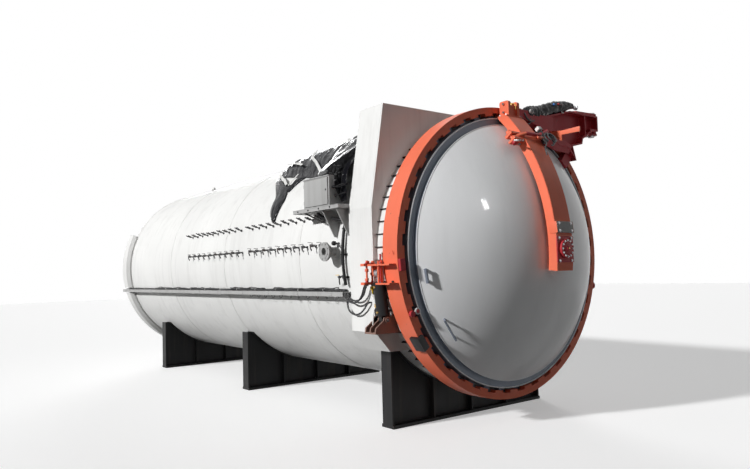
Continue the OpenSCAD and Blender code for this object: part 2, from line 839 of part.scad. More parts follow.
// Stop block, knob, guide block and an eye on the ring. All stay outside the door teeth.
module ring_blocks() {
    stop_w = 140;
    stop_t = 45;
    knob_d = 74;
    knob_h = 40;
    guide_a = 34;
    guide = [155, 94, 180];
    guide_out = 34;
    eye_a = 165;
    eye_d = 100;
    eye_t = 24;
    color(paint_red)
    translate([0, 0, axis_z])
    difference() {
        union() {
            rotate([pitch / 2, 0, 0]) translate([ring_x + seat, -ring_r + 5, -stop_w / 2])
            cube([stop_t, ring_r - 5 - root_r, stop_w]);
            rotate([pitch * 2.5, 0, 0]) translate([ring_x + seat, -root_r - knob_d / 2 - 1, 0])
            rotate([0, 90, 0]) cylinder(d = knob_d, h = knob_h, $fn = SMALL);
            rotate([guide_a, 0, 0]) translate([ring_x - 120, -ring_r - guide_out, -guide[2] / 2]) cube(guide);
            rotate([eye_a, 0, 0]) translate([ring_x - 60, -ring_r - eye_d / 2, 0]) rotate([0, 90, 0])
            difference() {
                cylinder(d = eye_d, h = eye_t, $fn = SMALL);
                translate([0, 0, -1]) cylinder(d = eye_d / 2, h = eye_t + 2, $fn = SMALL);
            }
        }
        translate([ring_x0, 0, 0]) rotate([0, 90, 0])
        cylinder(r = ring_r + seat, h = ring_w + seat, $fn = ROUND);
    }
}

// ---- ring drive ----

module drive_frame() {
    translate([drive_x, foot_p[0], axis_z + foot_p[1]]) rotate([drive_tilt, 0, 0]) children();
}

rod_r = 26;
eye_w = 60;                                   // width of the eyes at both ends of the cylinder
pin_play = 0.1;

module drive_barrel() {
    bottom = 60;
    top = drive_len - 105;
    bore_from = 110;
    eye_r = 45;
    color(black)
    drive_frame()
    difference() {
        union() {
            translate([0, 0, bottom]) cylinder(d = drive_barrel_d, h = top - bottom, $fn = SMALL);
            translate([-eye_w / 2, -eye_r, -10]) cube([eye_w, 2 * eye_r, bottom + 12]);
            translate([-eye_w / 2, 0, 0]) rotate([0, 90, 0]) cylinder(r = eye_r, h = eye_w, $fn = SMALL);
        }
        translate([-eye_w / 2 - 1, 0, 0]) rotate([0, 90, 0])
        cylinder(r = drive_pin_d / 2 + pin_play, h = eye_w + 2, $fn = SMALL);
        translate([0, 0, bore_from]) cylinder(r = rod_r + pin_play, h = top, $fn = SMALL);
    }
}

// The rod's eye has more play, because its pin moves with the ring on an arc.
module drive_rod() {
    arc_play = 3.5;
    eye_r = 48;
    from = 160;
    color(steel)
    drive_frame()
    difference() {
        union() {
            translate([0, 0, from]) cylinder(r = rod_r, h = drive_len - 30 - from, $fn = SMALL);
            translate([-eye_w / 2, 0, drive_len]) rotate([0, 90, 0])
            cylinder(r = eye_r, h = eye_w, $fn = SMALL);
        }
        translate([-eye_w / 2 - 1, 0, drive_len]) rotate([0, 90, 0])
        cylinder(r = drive_pin_d / 2 + arc_play, h = eye_w + 2, $fn = SMALL);
    }
}

// ---- door ----

module door_flange() {
    tooth_w = channel_x1 - move_gap - door_x0;
    color(paint_grey)
    union() {
        about_axis()
        polygon([[dome_in_r, door_x0], [rim_r, door_x0], [rim_r, rim_x], [dome_base_r, rim_x],
            [dome_base_r, dome_x], [dome_in_r, dome_x]]);
        along_x(door_x0, tooth_w)
        intersection() {
            ring_2d(rim_r + door_tooth_h, rim_r - 10);
            ring_tooth_2d(door_tooth_share, rim_r - 40, rim_r + door_tooth_h + 20);
        }
    }
}

module door_head() {
    color(paint_grey)
    about_axis()
    intersection() {
        translate([0, dome_cx]) difference() {
            circle(dome_r, $fn = ROUND);
            circle(dome_r - dome_t, $fn = ROUND);
        }
        translate([0, dome_x]) square([big, big]);
    }
}

// Draws in the X-Z plane through the axis, from the dome's centre, and gives it a width across.
module across(w) {
    translate([dome_cx, w / 2, axis_z]) rotate([90, 0, 0]) linear_extrude(w) children();
}

module door_beam() {
    color(paint_orange)
    difference() {
        across(beam_w)
        intersection() {
            ring_2d(beam_r1, beam_r0);
            sector_2d(-beam_foot, 60, 1.3 * beam_r1);
            translate([ring_x + jib_x0 - dome_cx, beam_head_z - big]) square(big);
        }
        translate([dome_cx, 0, axis_z]) rotate([0, 90, 0])
        cylinder(d = boss_neck_d + 2 * seat, h = big, $fn = SMALL);
    }
}

// Plate on the head of the beam, with two lugs and the block between them that the jib bolts to.
module beam_lugs() {
    lug_d = 155;
    corner_r = 30;
    back = ring_x + jib_x0;
    base = beam_head_z + seat;
    foot = base + head_plate_t - 1;
    top = ring_r + 62;
    pin_d = 40;
    color(paint_orange)
    translate([0, 0, axis_z])
    union() {
        translate([back, -beam_w / 2, base]) cube([lug_d + 5, beam_w, head_plate_t]);
        for (y = [-lug_half, lug_half - lug_t])
            translate([0, y + lug_t, 0]) rotate([90, 0, 0]) linear_extrude(lug_t)
            hull() {
                for (x = [corner_r, lug_d - corner_r])
                    translate([back + x, top - corner_r]) circle(corner_r, $fn = SMALL);
                translate([back, foot]) square([lug_d, 10]);
            }
        translate([back, lug_t - lug_half - 1, foot])
        cube([jib_d, 2 * (lug_half - lug_t + 1), ring_r + 15 - foot]);
        for (z = [top - pin_d, top - 150])
            translate([back + lug_d / 2, -lug_half - 14, z]) rotate([-90, 0, 0])
            cylinder(d = pin_d, h = 15, $fn = SMALL);
    }
}

module door_boss() {
    face_x = dome_cx + beam_r1 + seat;
    color(paint_red)
    translate([0, 0, axis_z])
    difference() {
        union() {
            translate([dome_cx + dome_r - 20, 0, 0]) rotate([0, 90, 0])
            cylinder(d = boss_neck_d, h = boss_x1 - dome_cx - dome_r + 20, $fn = SMALL);
            translate([face_x, 0, 0]) rotate([0, 90, 0])
            cylinder(d = boss_d, h = boss_x1 - face_x, $fn = SMALL);
        }
        translate([dome_cx, 0, 0]) sphere(r = dome_r + seat, $fn = ROUND);
    }
}

jib_start = lug_half + seat;
jib_dip = [0.35 * arm_y, jib_z0 + 105];       // top edge of the jib where its back starts to rise
jib_rise = [0.62 * arm_y, jib_top];
knee_a = 47.7;                                // where the jib is tied to the door rim
knee_half = 4;
knee_r = rim_r + 115;

// Side view of the jib in the Y-Z plane: shallow over the door, deep beside the hinge. Its lower edge
// follows the rim, drops to the knee and climbs outside the ring to the hinge.
module jib_2d() {
    over_rim = rim_r + 15;
    follow = [75, 66, 56];                    // angles where it follows the rim
    heel_a = 49.3;
    clear_a = [45.7, 46.7];
    barrel_y0 = hinge_y - 210;
    barrel_y1 = hinge_y - 40;
    polygon(concat([[jib_start, over_rim], [beam_w / 2 + 10, over_rim]], [for (a = follow) polar(a, over_rim)],
        [polar(knee_a + knee_half, knee_r), polar(knee_a - knee_half, knee_r), polar(heel_a, rim_r + 213),
        polar(clear_a[0], rim_r + 405), polar(clear_a[1], rim_r + 477), [barrel_y0, barrel_z0 - 25],
        [barrel_y0, barrel_z0 + 6], [barrel_y1, barrel_z0 + 6], [barrel_y1, jib_top],
        jib_rise, jib_dip, [jib_start, jib_z0 + 135]]));
}

// The jib is a channel that opens to the front: a back plate with a flange all round and one stiffener.
jib_plate_t = 25;

module jib_hollow_2d() {
    rib_y = 0.79 * arm_y;
    difference() {
        offset(delta = -jib_plate_t) jib_2d();
        square([0.42 * arm_y, 2 * big]);
        translate([rib_y, 0]) square([20, 2 * big]);
    }
}

module jib_arm() {
    color(paint_red)
    translate([ring_x, 0, axis_z])
    difference() {
        union() {
            translate([jib_x0, 0, 0]) rotate([90, 0, 90]) difference() {
                linear_extrude(jib_d) jib_2d();
                translate([0, 0, jib_plate_t]) linear_extrude(jib_d) jib_hollow_2d();
            }
            translate([0, hinge_y, barrel_z0]) cylinder(r = barrel_r, h = barrel_h, $fn = SMALL);
            translate([0, hinge_y - 110, barrel_z0 + 6]) cube([jib_x0 + 10, 70, jib_top - barrel_z0 - 6]);
        }
        translate([0, hinge_y, barrel_z0 - 1])
        cylinder(r = hinge_pin_d / 2 + pin_play, h = barrel_h + 2, $fn = SMALL);
    }
}

// Room that the door flange needs, with its seating gap.
module door_keep_out() {
    about_axis()
    polygon([[0, door_x0], [rim_r + seat, door_x0], [rim_r + seat, rim_x + seat],
        [dome_base_r + seat, rim_x + seat], [dome_base_r + seat, dome_x + seat], [0, dome_x + seat]]);
}

// Block on the door rim under the foot of the jib.
module jib_knee() {
    w = 150;
    knee_d = 87;
    low_r = rim_r - 94;
    high_r = knee_r * cos(knee_half) - seat;
    color(paint_red)
    difference() {
        translate([0, 0, axis_z]) rotate([knee_a - 90, 0, 0])
        translate([rim_x, -w / 2, low_r]) cube([knee_d, w, high_r - low_r]);
        door_keep_out();
    }
}

module beam_bracket() {
    a = 34.4;
    out = 342;
    plate_t = 30;
    plate_gap = 60;
    pin_d = 40;
    pin_h = 190;
    pin_in = 40;
    color(paint_orange)
    translate([dome_cx, 0, axis_z]) rotate([0, -a, 0])
    union() {
        for (z = [-plate_gap / 2 - plate_t, plate_gap / 2])
            translate([beam_r0 + 2, -out, z]) cube([beam_d - 4, out - beam_w / 2 - seat, plate_t]);
        translate([beam_r0 + beam_d / 2, pin_in - out, -plate_gap / 2 - 2 * plate_t])
        cylinder(d = pin_d, h = pin_h, $fn = SMALL);
    }
}

// Outer form of the plastic sheeting over the door cylinder on the jib. The outline is a list of shares
// of the reach and heights above the foot of the jib.
module jib_wrap() {
    w = 160;
    outline = [[0.14, 140], [0.14, 153], [0.187, 209], [0.29, 237], [0.374, 291], [0.471, 348], [0.583, 386],
        [0.684, 375], [0.72, 305], [0.72, jib_h + 20]];
    color(black)
    translate([ring_x + jib_x0 + (jib_d - w) / 2, 0, axis_z]) rotate([90, 0, 90]) linear_extrude(w)
    polygon(concat([for (p = outline) [p[0] * arm_y, jib_z0 + p[1]]],
        [jib_rise + [0, seat], jib_dip + [0, seat]]));
}

// Puts children on the dome, at an angle round the door and a distance from its middle.
module dome_mount(a, r) {
    tilt = asin(r / dome_r);
    translate([dome_cx, 0, axis_z]) rotate([a, 0, 0]) rotate([0, 0, -tilt]) translate([dome_r, 0, 0])
    children();
}

// A bar that overhangs its two legs. The legs start a little inside the dome.
module grab_handle(span, rise, d) {
    overhang = 20;
    root = 6;
    for (z = [-span / 2, span / 2])
        translate([seat - root, 0, z]) rotate([0, 90, 0]) cylinder(d = d, h = rise, $fn = 24);
    translate([rise - root, 0, -span / 2 - overhang]) cylinder(d = d, h = span + 2 * overhang, $fn = 24);
}

module door_handles() {
    upper_a = 35.4;
    upper_in = 105;
    lower_a = 10;
    lower_in = 65;
    color(steel)
    difference() {
        union() {
            dome_mount(upper_a, dome_base_r - upper_in) grab_handle(260, 76, 26);
            dome_mount(lower_a, dome_base_r - lower_in) grab_handle(130, 66, 40);
        }
        translate([dome_cx, 0, axis_z]) sphere(r = dome_r + seat, $fn = ROUND);
    }
}

shell_stave(1);  // shell_stave_1
shell_stave(2);  // shell_stave_2
shell_stave(3);  // shell_stave_3
shell_stave(4);  // shell_stave_4
shell_stave(5);  // shell_stave_5
shell_stave(6);  // shell_stave_6
shell_stave(7);  // shell_stave_7
shell_stave(8);  // shell_stave_8
rear_head();
rear_collar();
vessel_flange();
door_seal();
casing_front_plate();
casing_rear_plate();
casing_wrap();
flange_gussets();
saddle(0);  // front_saddle
saddle(-middle_saddle);
saddle(-rear_saddle);
lifting_lugs();
upper_ports();
lower_ports();
cable_duct();
side_shelf();
control_cabinet();
conduit();
side_nozzle();
shoulder_wrap();
interlock_frame();
bleed_valve();
drive_bracket();
hinge_bracket();
hinge_pin();
cable(upper_a);  // cable_upper_a
cable(upper_b);  // cable_upper_b
cable(lower_c);  // cable_lower
lock_ring();
ring_ear();
ring_blocks();
drive_barrel();
drive_rod();
door_flange();
door_head();
door_beam();
beam_lugs();
door_boss();
jib_arm();
jib_knee();
beam_bracket();
jib_wrap();
door_handles();
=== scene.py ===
# %% [markdown]
# # Dressing an industrial autoclave
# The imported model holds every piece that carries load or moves. This script gives those pieces their
# finish, softens their edges, and adds what is too small or too soft for the model: bolts, weld beads,
# valves, cables, and the black sheeting that covers the pipework. Each cell makes one thing.

# %% Load the frame
import json
import math

import bmesh
import bpy
from mathutils import Matrix, Vector, noise


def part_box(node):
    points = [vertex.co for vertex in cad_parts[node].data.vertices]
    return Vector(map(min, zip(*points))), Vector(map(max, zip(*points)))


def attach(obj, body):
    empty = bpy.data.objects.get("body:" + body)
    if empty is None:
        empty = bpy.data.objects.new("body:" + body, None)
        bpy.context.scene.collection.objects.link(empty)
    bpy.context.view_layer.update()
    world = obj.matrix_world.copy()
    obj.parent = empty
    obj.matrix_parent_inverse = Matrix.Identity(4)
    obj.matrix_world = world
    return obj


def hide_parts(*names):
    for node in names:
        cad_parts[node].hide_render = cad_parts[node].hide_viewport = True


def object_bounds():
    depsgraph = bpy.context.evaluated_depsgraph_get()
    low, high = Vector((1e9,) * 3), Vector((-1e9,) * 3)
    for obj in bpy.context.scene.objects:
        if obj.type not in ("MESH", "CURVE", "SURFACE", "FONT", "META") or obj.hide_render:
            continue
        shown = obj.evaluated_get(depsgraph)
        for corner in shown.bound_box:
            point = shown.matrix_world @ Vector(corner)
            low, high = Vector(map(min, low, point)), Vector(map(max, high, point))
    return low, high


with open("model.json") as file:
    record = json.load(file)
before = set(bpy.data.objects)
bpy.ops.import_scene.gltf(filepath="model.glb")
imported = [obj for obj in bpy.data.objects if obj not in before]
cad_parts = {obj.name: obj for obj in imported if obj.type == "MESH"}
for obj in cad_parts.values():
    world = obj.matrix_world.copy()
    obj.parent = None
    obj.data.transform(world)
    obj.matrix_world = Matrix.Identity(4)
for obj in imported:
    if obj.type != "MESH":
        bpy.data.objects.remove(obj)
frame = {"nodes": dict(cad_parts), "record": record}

cad_low, cad_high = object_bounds()
print("nodes", len(frame["nodes"]), "size", [round(v, 3) for v in cad_high - cad_low])

# %% [markdown]
# ## Where things are
# Positions come from the frame, so a changed model carries the looks with it. The lock ring gives the
# axis height, and the shell staves give the shell's radius. The dished door is part of a sphere, whose
# centre and radius follow from its flat rim and its crown.

# %% Sizes read from the frame
ring_low, ring_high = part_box("lock_ring")
AXIS_Z = (ring_low.z + ring_high.z) / 2
RING_R = (ring_high.z - ring_low.z) / 2
RING_X1 = ring_high.x
shell_low, shell_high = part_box("shell_stave_2")
SHELL_R = shell_high.z - AXIS_Z
SHELL_X0 = shell_low.x
CASING_X0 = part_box("casing_rear_plate")[0].x
CASING_X1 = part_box("casing_front_plate")[1].x
head_low, head_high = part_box("door_head")
DOME_BASE_R = (head_high.z - head_low.z) / 2
DOME_H = head_high.x - head_low.x
DOME_R = (DOME_BASE_R ** 2 + DOME_H ** 2) / (2 * DOME_H)
DOME_X = head_high.x - DOME_R
print(f"axis {AXIS_Z:.3f}, shell {SHELL_R:.3f}, ring {RING_R:.3f}, dome {DOME_R:.3f} about x {DOME_X:.3f}")


# %% Places round the axis
def around(x, degrees, radius):
    """A point at a distance from the vessel's axis, counted upwards from the -Y side."""
    a = math.radians(degrees)
    return Vector((x, -radius * math.cos(a), AXIS_Z + radius * math.sin(a)))


def outward(degrees):
    """The direction away from the vessel's axis at that angle."""
    a = math.radians(degrees)
    return Vector((0, -math.cos(a), math.sin(a)))


def high(x, y, z):
    """A point whose height is counted from the vessel's axis."""
    return Vector((x, y, AXIS_Z + z))


print("the -Y side of the shell is at", [round(v, 3) for v in around(0, 0, SHELL_R)])

# %% [markdown]
# ## Camera
# The view is from the door end, low down, and looks slightly up with a small roll.

# %% Camera
CAMERA_AT = Vector((6.6925, -6.7189, 1.9752))
AZIMUTH, ELEVATION, ROLL = 52.33, -3.26, -1.54
SENSOR, LENS = 36, 31.83

camera_data = bpy.data.cameras.new("camera")
camera_data.sensor_width = SENSOR
camera_data.lens = LENS
camera = bpy.data.objects.new("camera", camera_data)
turn = Matrix.Rotation(math.radians(AZIMUTH), 4, "Z")
tilt = Matrix.Rotation(math.radians(90 - ELEVATION), 4, "X")
roll = Matrix.Rotation(math.radians(ROLL), 4, "Z")
camera.matrix_world = Matrix.Translation(CAMERA_AT) @ turn @ tilt @ roll
bpy.context.scene.collection.objects.link(camera)
bpy.context.scene.camera = camera
print("camera", round((CAMERA_AT - high(RING_X1, 0, 0)).length, 2), "m from the door")

# %% [markdown]
# ## Finishes
# Real enamel is never one flat colour. Each finish here starts from a base colour and adds slow
# mottling, runs of dirt that follow gravity, and a fine bump. All of it is placed by object
# coordinates, so nothing slides when a part moves. Materials, geometry trees and the world are all node
# trees, so one small builder serves the three.


# %% A small builder for node trees
class NodeTree:
    """Adds nodes to a tree, and sets or links their sockets."""

    def __init__(self, tree):
        self.tree = tree

    def add(self, kind, settings=None, **inputs):
        node = self.tree.nodes.new(kind)
        for key, value in (settings or {}).items():
            setattr(node, key, value)
        for key, value in inputs.items():
            self.put(node.inputs[key.replace("_", " ")], value)
        return node

    def put(self, socket, value):
        if isinstance(value, bpy.types.NodeSocket):
            self.tree.links.new(value, socket)
        else:
            socket.default_value = value

    def maths(self, operation, *values):
        node = self.add("ShaderNodeMath", {"operation": operation})
        for socket, value in zip(node.inputs, values):
            self.put(socket, value)
        return node.outputs[0]

    def ramp(self, value, **ends):
        return self.add("ShaderNodeMapRange", Value=value, **ends).outputs["Result"]


# %% A small builder for materials
def shade(colour, factor=1.0):
    """The colour, lighter or darker by that factor, with its alpha."""
    return tuple(min(1.0, c * factor) for c in colour[:3]) + (1.0,)


class Shader(NodeTree):
    """A material whose tree grows one call at a time."""

    def __init__(self, name):
        self.material = bpy.data.materials.new(name)
        self.material.use_nodes = True
        super().__init__(self.material.node_tree)
        self.surface = self.tree.nodes["Principled BSDF"]
        self.where = self.add("ShaderNodeTexCoord").outputs["Object"]

    def stretched(self, scale):
        """Object coordinates, scaled by a different amount along each axis."""
        return self.add("ShaderNodeMapping", Vector=self.where, Scale=scale).outputs["Vector"]

    def cloud(self, size, detail=4.0, low=0.4, high=0.6, where=None, rough=0.5):
        """Soft noise from 0 to 1, with its contrast set by low and high."""
        cloud = self.add("ShaderNodeTexNoise", Vector=where or self.where, Scale=size, Detail=detail,
                         Roughness=rough)
        return self.ramp(cloud.outputs["Fac"], From_Min=low, From_Max=high)

    def mix(self, amount, a, b):
        node = self.add("ShaderNodeMix", {"data_type": "RGBA"})
        for socket, value in zip((node.inputs[0], node.inputs[6], node.inputs[7]), (amount, a, b)):
            self.put(socket, value)
        return node.outputs[2]

    def rough(self, amount, low, high):
        """Roughness that runs from low to high as amount runs from 0 to 1."""
        self.put(self.surface.inputs["Roughness"], self.ramp(amount, To_Min=low, To_Max=high))

    def bump(self, height, depth, strength=1.0):
        bump = self.add("ShaderNodeBump", Height=height, Distance=depth, Strength=strength)
        self.put(self.surface.inputs["Normal"], bump.outputs["Normal"])

    def done(self, **sockets):
        """Sets the surface's own sockets and gives the material back."""
        for key, value in sockets.items():
            self.put(self.surface.inputs[key.replace("_", " ")], value)
        return self.material


# %% What all paint shares
DUST = (0.10, 0.085, 0.07, 1)
CHIPPED = (0.16, 0.10, 0.08, 1)
RUST = (0.11, 0.065, 0.04, 1)


def patches(s):
    """Slow mottling, about a metre across."""
    return s.cloud(0.9, 5, 0.35, 0.7)


def runs(s, amount, low=0.50, high=0.78, narrow=(5.5, 5.5, 0.35)):
    """Dirt that has run down, long upwards and narrow across."""
    return s.maths("MULTIPLY", s.cloud(1.0, 6, low, high, s.stretched(narrow), 0.65), amount)


def orange_peel(s, size=420, depth=0.0003, strength=0.35):
    """The fine dimples of sprayed paint."""
    s.bump(s.cloud(size, 2, 0.2, 0.8), depth, strength)


# %% Enamel on steel plate
def enamel(name, colour, gloss=0.35, dirt=0.25, chips=0.0, dirt_colour=DUST, shine=0.22):
    """Sprayed enamel: orange peel, cloudy patches, dust runs, and chips down to the primer."""
    s = Shader(name)
    paint = s.mix(patches(s), shade(colour, 0.93), shade(colour, 1.04))
    paint = s.mix(runs(s, dirt), paint, dirt_colour)
    if chips:
        flakes = s.maths("MULTIPLY", s.cloud(9, 8, 0.66, 0.68, rough=0.7), chips)
        paint = s.mix(flakes, paint, CHIPPED)
    s.rough(s.cloud(3.0, 4, 0.3, 0.7), gloss, gloss + 0.16)
    orange_peel(s)
    return s.done(Base_Color=paint, Specular_IOR_Level=shine)


# %% Steel, brass and rubber
def metal(name, colour, rough=0.35, stain=0.3, brushed=(60, 60, 6)):
    """Turned or rolled metal with fine brushing and brown stains."""
    s = Shader(name)
    lines = s.cloud(9, 5, 0.25, 0.75, s.stretched(brushed), 0.7)
    tone = s.mix(lines, shade(colour, 0.82), shade(colour, 1.1))
    rust = s.maths("MULTIPLY", s.cloud(7, 7, 0.5, 0.75, rough=0.65), stain)
    s.rough(lines, rough, rough + 0.25)
    s.bump(lines, 0.0004, 0.4)
    return s.done(Base_Color=s.mix(rust, tone, RUST), Metallic=0.85)


def rubber(name, colour=(0.018, 0.018, 0.02), rough=0.5):
    """Matt rubber or PVC with dust in its grain."""
    s = Shader(name)
    dust = s.maths("MULTIPLY", s.cloud(14, 6, 0.45, 0.8, rough=0.7), 0.5)
    s.rough(dust, rough, rough + 0.3)
    s.bump(s.cloud(260, 3, 0.2, 0.8), 0.0006, 0.5)
    return s.done(Base_Color=s.mix(dust, shade(colour), (0.10, 0.095, 0.09, 1)))


# %% Black polythene sheeting
def sheeting(name, colour=(0.006, 0.006, 0.008), shine=0.22):
    """Thin black film, shiny on its folds, with dust and fine creases."""
    s = Shader(name)
    dust = s.maths("MULTIPLY", s.cloud(5, 6, 0.48, 0.72, rough=0.65), 0.08)
    s.rough(dust, shine, 0.40)
    creases = s.add("ShaderNodeTexVoronoi", {"feature": "DISTANCE_TO_EDGE"}, Vector=s.where, Scale=14.0)
    s.bump(creases.outputs["Distance"], 0.02, 0.55)
    return s.done(Base_Color=s.mix(dust, shade(colour), (0.05, 0.05, 0.055, 1)), Specular_IOR_Level=0.16)


# %% The finishes of this object
WHITE_COLOUR, PRIMER_COLOUR = (0.80, 0.80, 0.785), (0.30, 0.29, 0.275)
WHITE = enamel("white_enamel", WHITE_COLOUR, gloss=0.42, dirt=0.16, shine=0.4)
INNER = enamel("chamber_primer", (0.33, 0.33, 0.32), gloss=0.6, dirt=0.3)
SILVER = enamel("silver_enamel", (0.36, 0.37, 0.375), gloss=0.16, dirt=0.05, shine=0.5)
ORANGE = enamel("vermilion_enamel", (0.84, 0.180, 0.095), gloss=0.34, dirt=0.12, chips=0.5)
RED = enamel("crimson_enamel", (0.46, 0.035, 0.045), gloss=0.36, dirt=0.15, chips=0.4)
BROWN = enamel("brown_primer", (0.26, 0.16, 0.13), gloss=0.50, dirt=0.35)
GREY = enamel("grey_enamel", (0.42, 0.42, 0.415), gloss=0.4, dirt=0.35, chips=0.2)
BLACK = enamel("black_enamel", (0.012, 0.012, 0.013), gloss=0.4, dirt=0.5, dirt_colour=(0.07, 0.06, 0.05, 1))
STEEL = metal("bare_steel", (0.40, 0.40, 0.41))
DARK_STEEL = metal("dark_steel", (0.10, 0.10, 0.105), rough=0.45, stain=0.5)
BRASS = metal("brass", (0.55, 0.36, 0.12), rough=0.32, stain=0.15)
YELLOW = enamel("yellow_lever", (0.78, 0.50, 0.02), gloss=0.35, dirt=0.1)
RUBBER = rubber("black_rubber")
FILM = sheeting("black_film")
WEBBING = rubber("white_webbing", (0.75, 0.75, 0.73), 0.6)

# %% Paint the model's pieces
FINISH_OF_SLOT = {
    "white_paint": WHITE, "silver_paint": SILVER, "orange_paint": ORANGE, "red_paint": RED,
    "grey_paint": GREY, "black_paint": BLACK, "brown_primer": BROWN, "bare_steel": STEEL, "brass": BRASS,
    "black_rubber": RUBBER, "black_sheeting": FILM,
}
slot_of = {part["node"]: part["material_slot"] for part in frame["record"]["subparts"]}


def coat(node, material=None):
    """Paints a model piece with the finish of its slot, or with another."""
    mesh = frame["nodes"][node].data
    mesh.materials.clear()
    mesh.materials.append(material or FINISH_OF_SLOT[slot_of[node]])


for node in frame["nodes"]:
    coat(node)
print("painted", len(frame["nodes"]), "pieces")

# %% [markdown]
# ## Hanging cables
# Three rubber cables leave the duct on the side, sag past the casing and end in the interlock frame.
# Each follows the same few points as the model's own cable, joined by a smooth curve.


# %% Smooth routes, and pieces in the scene
def smooth(points, steps):
    """A Catmull-Rom curve through the points, with that many steps between each two."""
    points = [Vector(p) for p in points]
    last = len(points) - 1
    route = []
    for i in range(last):
        a, b = points[max(i - 1, 0)], points[i]
        c, d = points[i + 1], points[min(i + 2, last)]
        for k in range(steps):
            t = k / steps
            route.append(0.5 * (2 * b + (c - a) * t + (2 * a - 5 * b + 4 * c - d) * t * t
                                + (3 * b - 3 * c + d - a) * t ** 3))
    return route + [points[last]]


def link(name, data, body="vessel", material=None):
    """Puts finished mesh or curve data in the scene, riding on a body."""
    piece = bpy.data.objects.new(name, data)
    bpy.context.scene.collection.objects.link(piece)
    if material:
        data.materials.clear()
        data.materials.append(material)
    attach(piece, body)
    return piece


# %% Cables
CABLE_D = 0.022
CABLES = {
    "upper_cable_a": ("cable_upper_a", [
        (-0.330, -1.786, 1.712), (-0.315, -1.786, 1.712), (-0.295, -1.786, 1.712), (-0.230, -1.840, 1.692),
        (-0.160, -1.884, 1.668), (-0.080, -1.895, 1.645), (0.020, -1.900, 1.630), (0.120, -1.902, 1.650),
        (0.200, -1.904, 1.710), (0.250, -1.905, 1.800), (0.290, -1.905, 1.850), (0.310, -1.905, 1.850),
        (0.327, -1.905, 1.850)]),
    "upper_cable_b": ("cable_upper_b", [
        (-0.330, -1.826, 1.712), (-0.315, -1.826, 1.712), (-0.290, -1.826, 1.712), (-0.230, -1.880, 1.684),
        (-0.160, -1.915, 1.655), (-0.080, -1.930, 1.625), (0.020, -1.938, 1.605), (0.120, -1.940, 1.625),
        (0.205, -1.942, 1.690), (0.255, -1.943, 1.785), (0.290, -1.943, 1.842), (0.310, -1.943, 1.842),
        (0.327, -1.943, 1.842)]),
    "lower_cable": ("cable_lower", [
        (-0.330, -1.750, 1.706), (-0.315, -1.750, 1.706), (-0.295, -1.750, 1.706), (-0.250, -1.800, 1.670),
        (-0.200, -1.865, 1.590), (-0.130, -1.885, 1.500), (-0.020, -1.888, 1.460), (0.080, -1.888, 1.470),
        (0.170, -1.890, 1.520), (0.230, -1.892, 1.575), (0.262, -1.885, 1.608), (0.270, -1.865, 1.612),
        (0.270, -1.852, 1.612), (0.270, -1.841, 1.612)]),
}


def curve_of(name, route, radius, sides=6):
    """Round curve data along a route of points."""
    data = bpy.data.curves.new(name, "CURVE")
    data.dimensions = "3D"
    data.bevel_depth = radius
    data.bevel_resolution = sides
    data.use_fill_caps = True
    line = data.splines.new("POLY")
    line.points.add(len(route) - 1)
    for point, place in zip(line.points, route):
        point.co = (*place, 1)
    return data


for name, (node, points) in CABLES.items():
    route = smooth(points, 6)
    cable = link(name, curve_of(name, route, CABLE_D / 2), "vessel", RUBBER)
    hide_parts(node)

# %% [markdown]
# ## A mesh builder
# Most of the fittings here are turned, sawn or flame-cut steel, so a handful of shapes makes them all: a
# box with broken edges, a rod, a lathe profile, a cut plate, a bent tube. A modelling class that keeps
# one bmesh and a list of finishes is shorter than a hundred separate objects, and each fitting ends up
# as one mesh. Every shape is closed, and its normals are worked out before it joins the rest.


# %% A placing
def facing(origin, z_axis, x_axis=(0, 0, 1)):
    """A placing whose Z points along z_axis, with X as near to x_axis as it can be."""
    z = Vector(z_axis).normalized()
    x = Vector(x_axis)
    x = x - z * x.dot(z)
    x = x.normalized() if x.length > 1e-6 else z.orthogonal().normalized()
    turn = Matrix((x, z.cross(x), z)).transposed().to_4x4()
    return Matrix.Translation(Vector(origin)) @ turn


# %% Bodies joined into one mesh
SHARP_EDGE = math.radians(38)


class Bodies:
    """One mesh made of closed bodies, each with its own finish."""

    def __init__(self, material=None):
        self.mesh = bmesh.new()
        self.finishes = []
        self.use(material or STEEL)

    def use(self, material):
        if material not in self.finishes:
            self.finishes.append(material)
        self.current = self.finishes.index(material)
        return self

    def add(self, part, place=None, soften=0.0, segments=2):
        """Turns the faces outwards, breaks the sharp edges and joins the body to the mesh."""
        bmesh.ops.recalc_face_normals(part, faces=part.faces)
        if soften:
            sharp = [e for e in part.edges if len(e.link_faces) == 2 and e.calc_face_angle() > 0.6]
            bmesh.ops.bevel(part, geom=sharp, offset=soften, segments=segments, affect="EDGES",
                            profile=0.6, clamp_overlap=True)
        for face in part.faces:
            face.material_index = self.current
            face.smooth = True
        if place is not None:
            part.transform(place)
        scratch = bpy.data.meshes.new("scratch")
        part.to_mesh(scratch)
        part.free()
        self.mesh.from_mesh(scratch)
        bpy.data.meshes.remove(scratch)
        return self

    def finish(self, name, body="vessel", slot=None, replaces=None):
        """Makes the scene's piece from everything added."""
        data = bpy.data.meshes.new(name)
        self.mesh.to_mesh(data)
        self.mesh.free()
        for material in self.finishes:
            data.materials.append(material)
        data.set_sharp_from_angle(angle=SHARP_EDGE)
        piece = link(name, data, body, None)
        if replaces:
            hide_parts(replaces)
        print(name, len(data.polygons), "faces")
        return piece


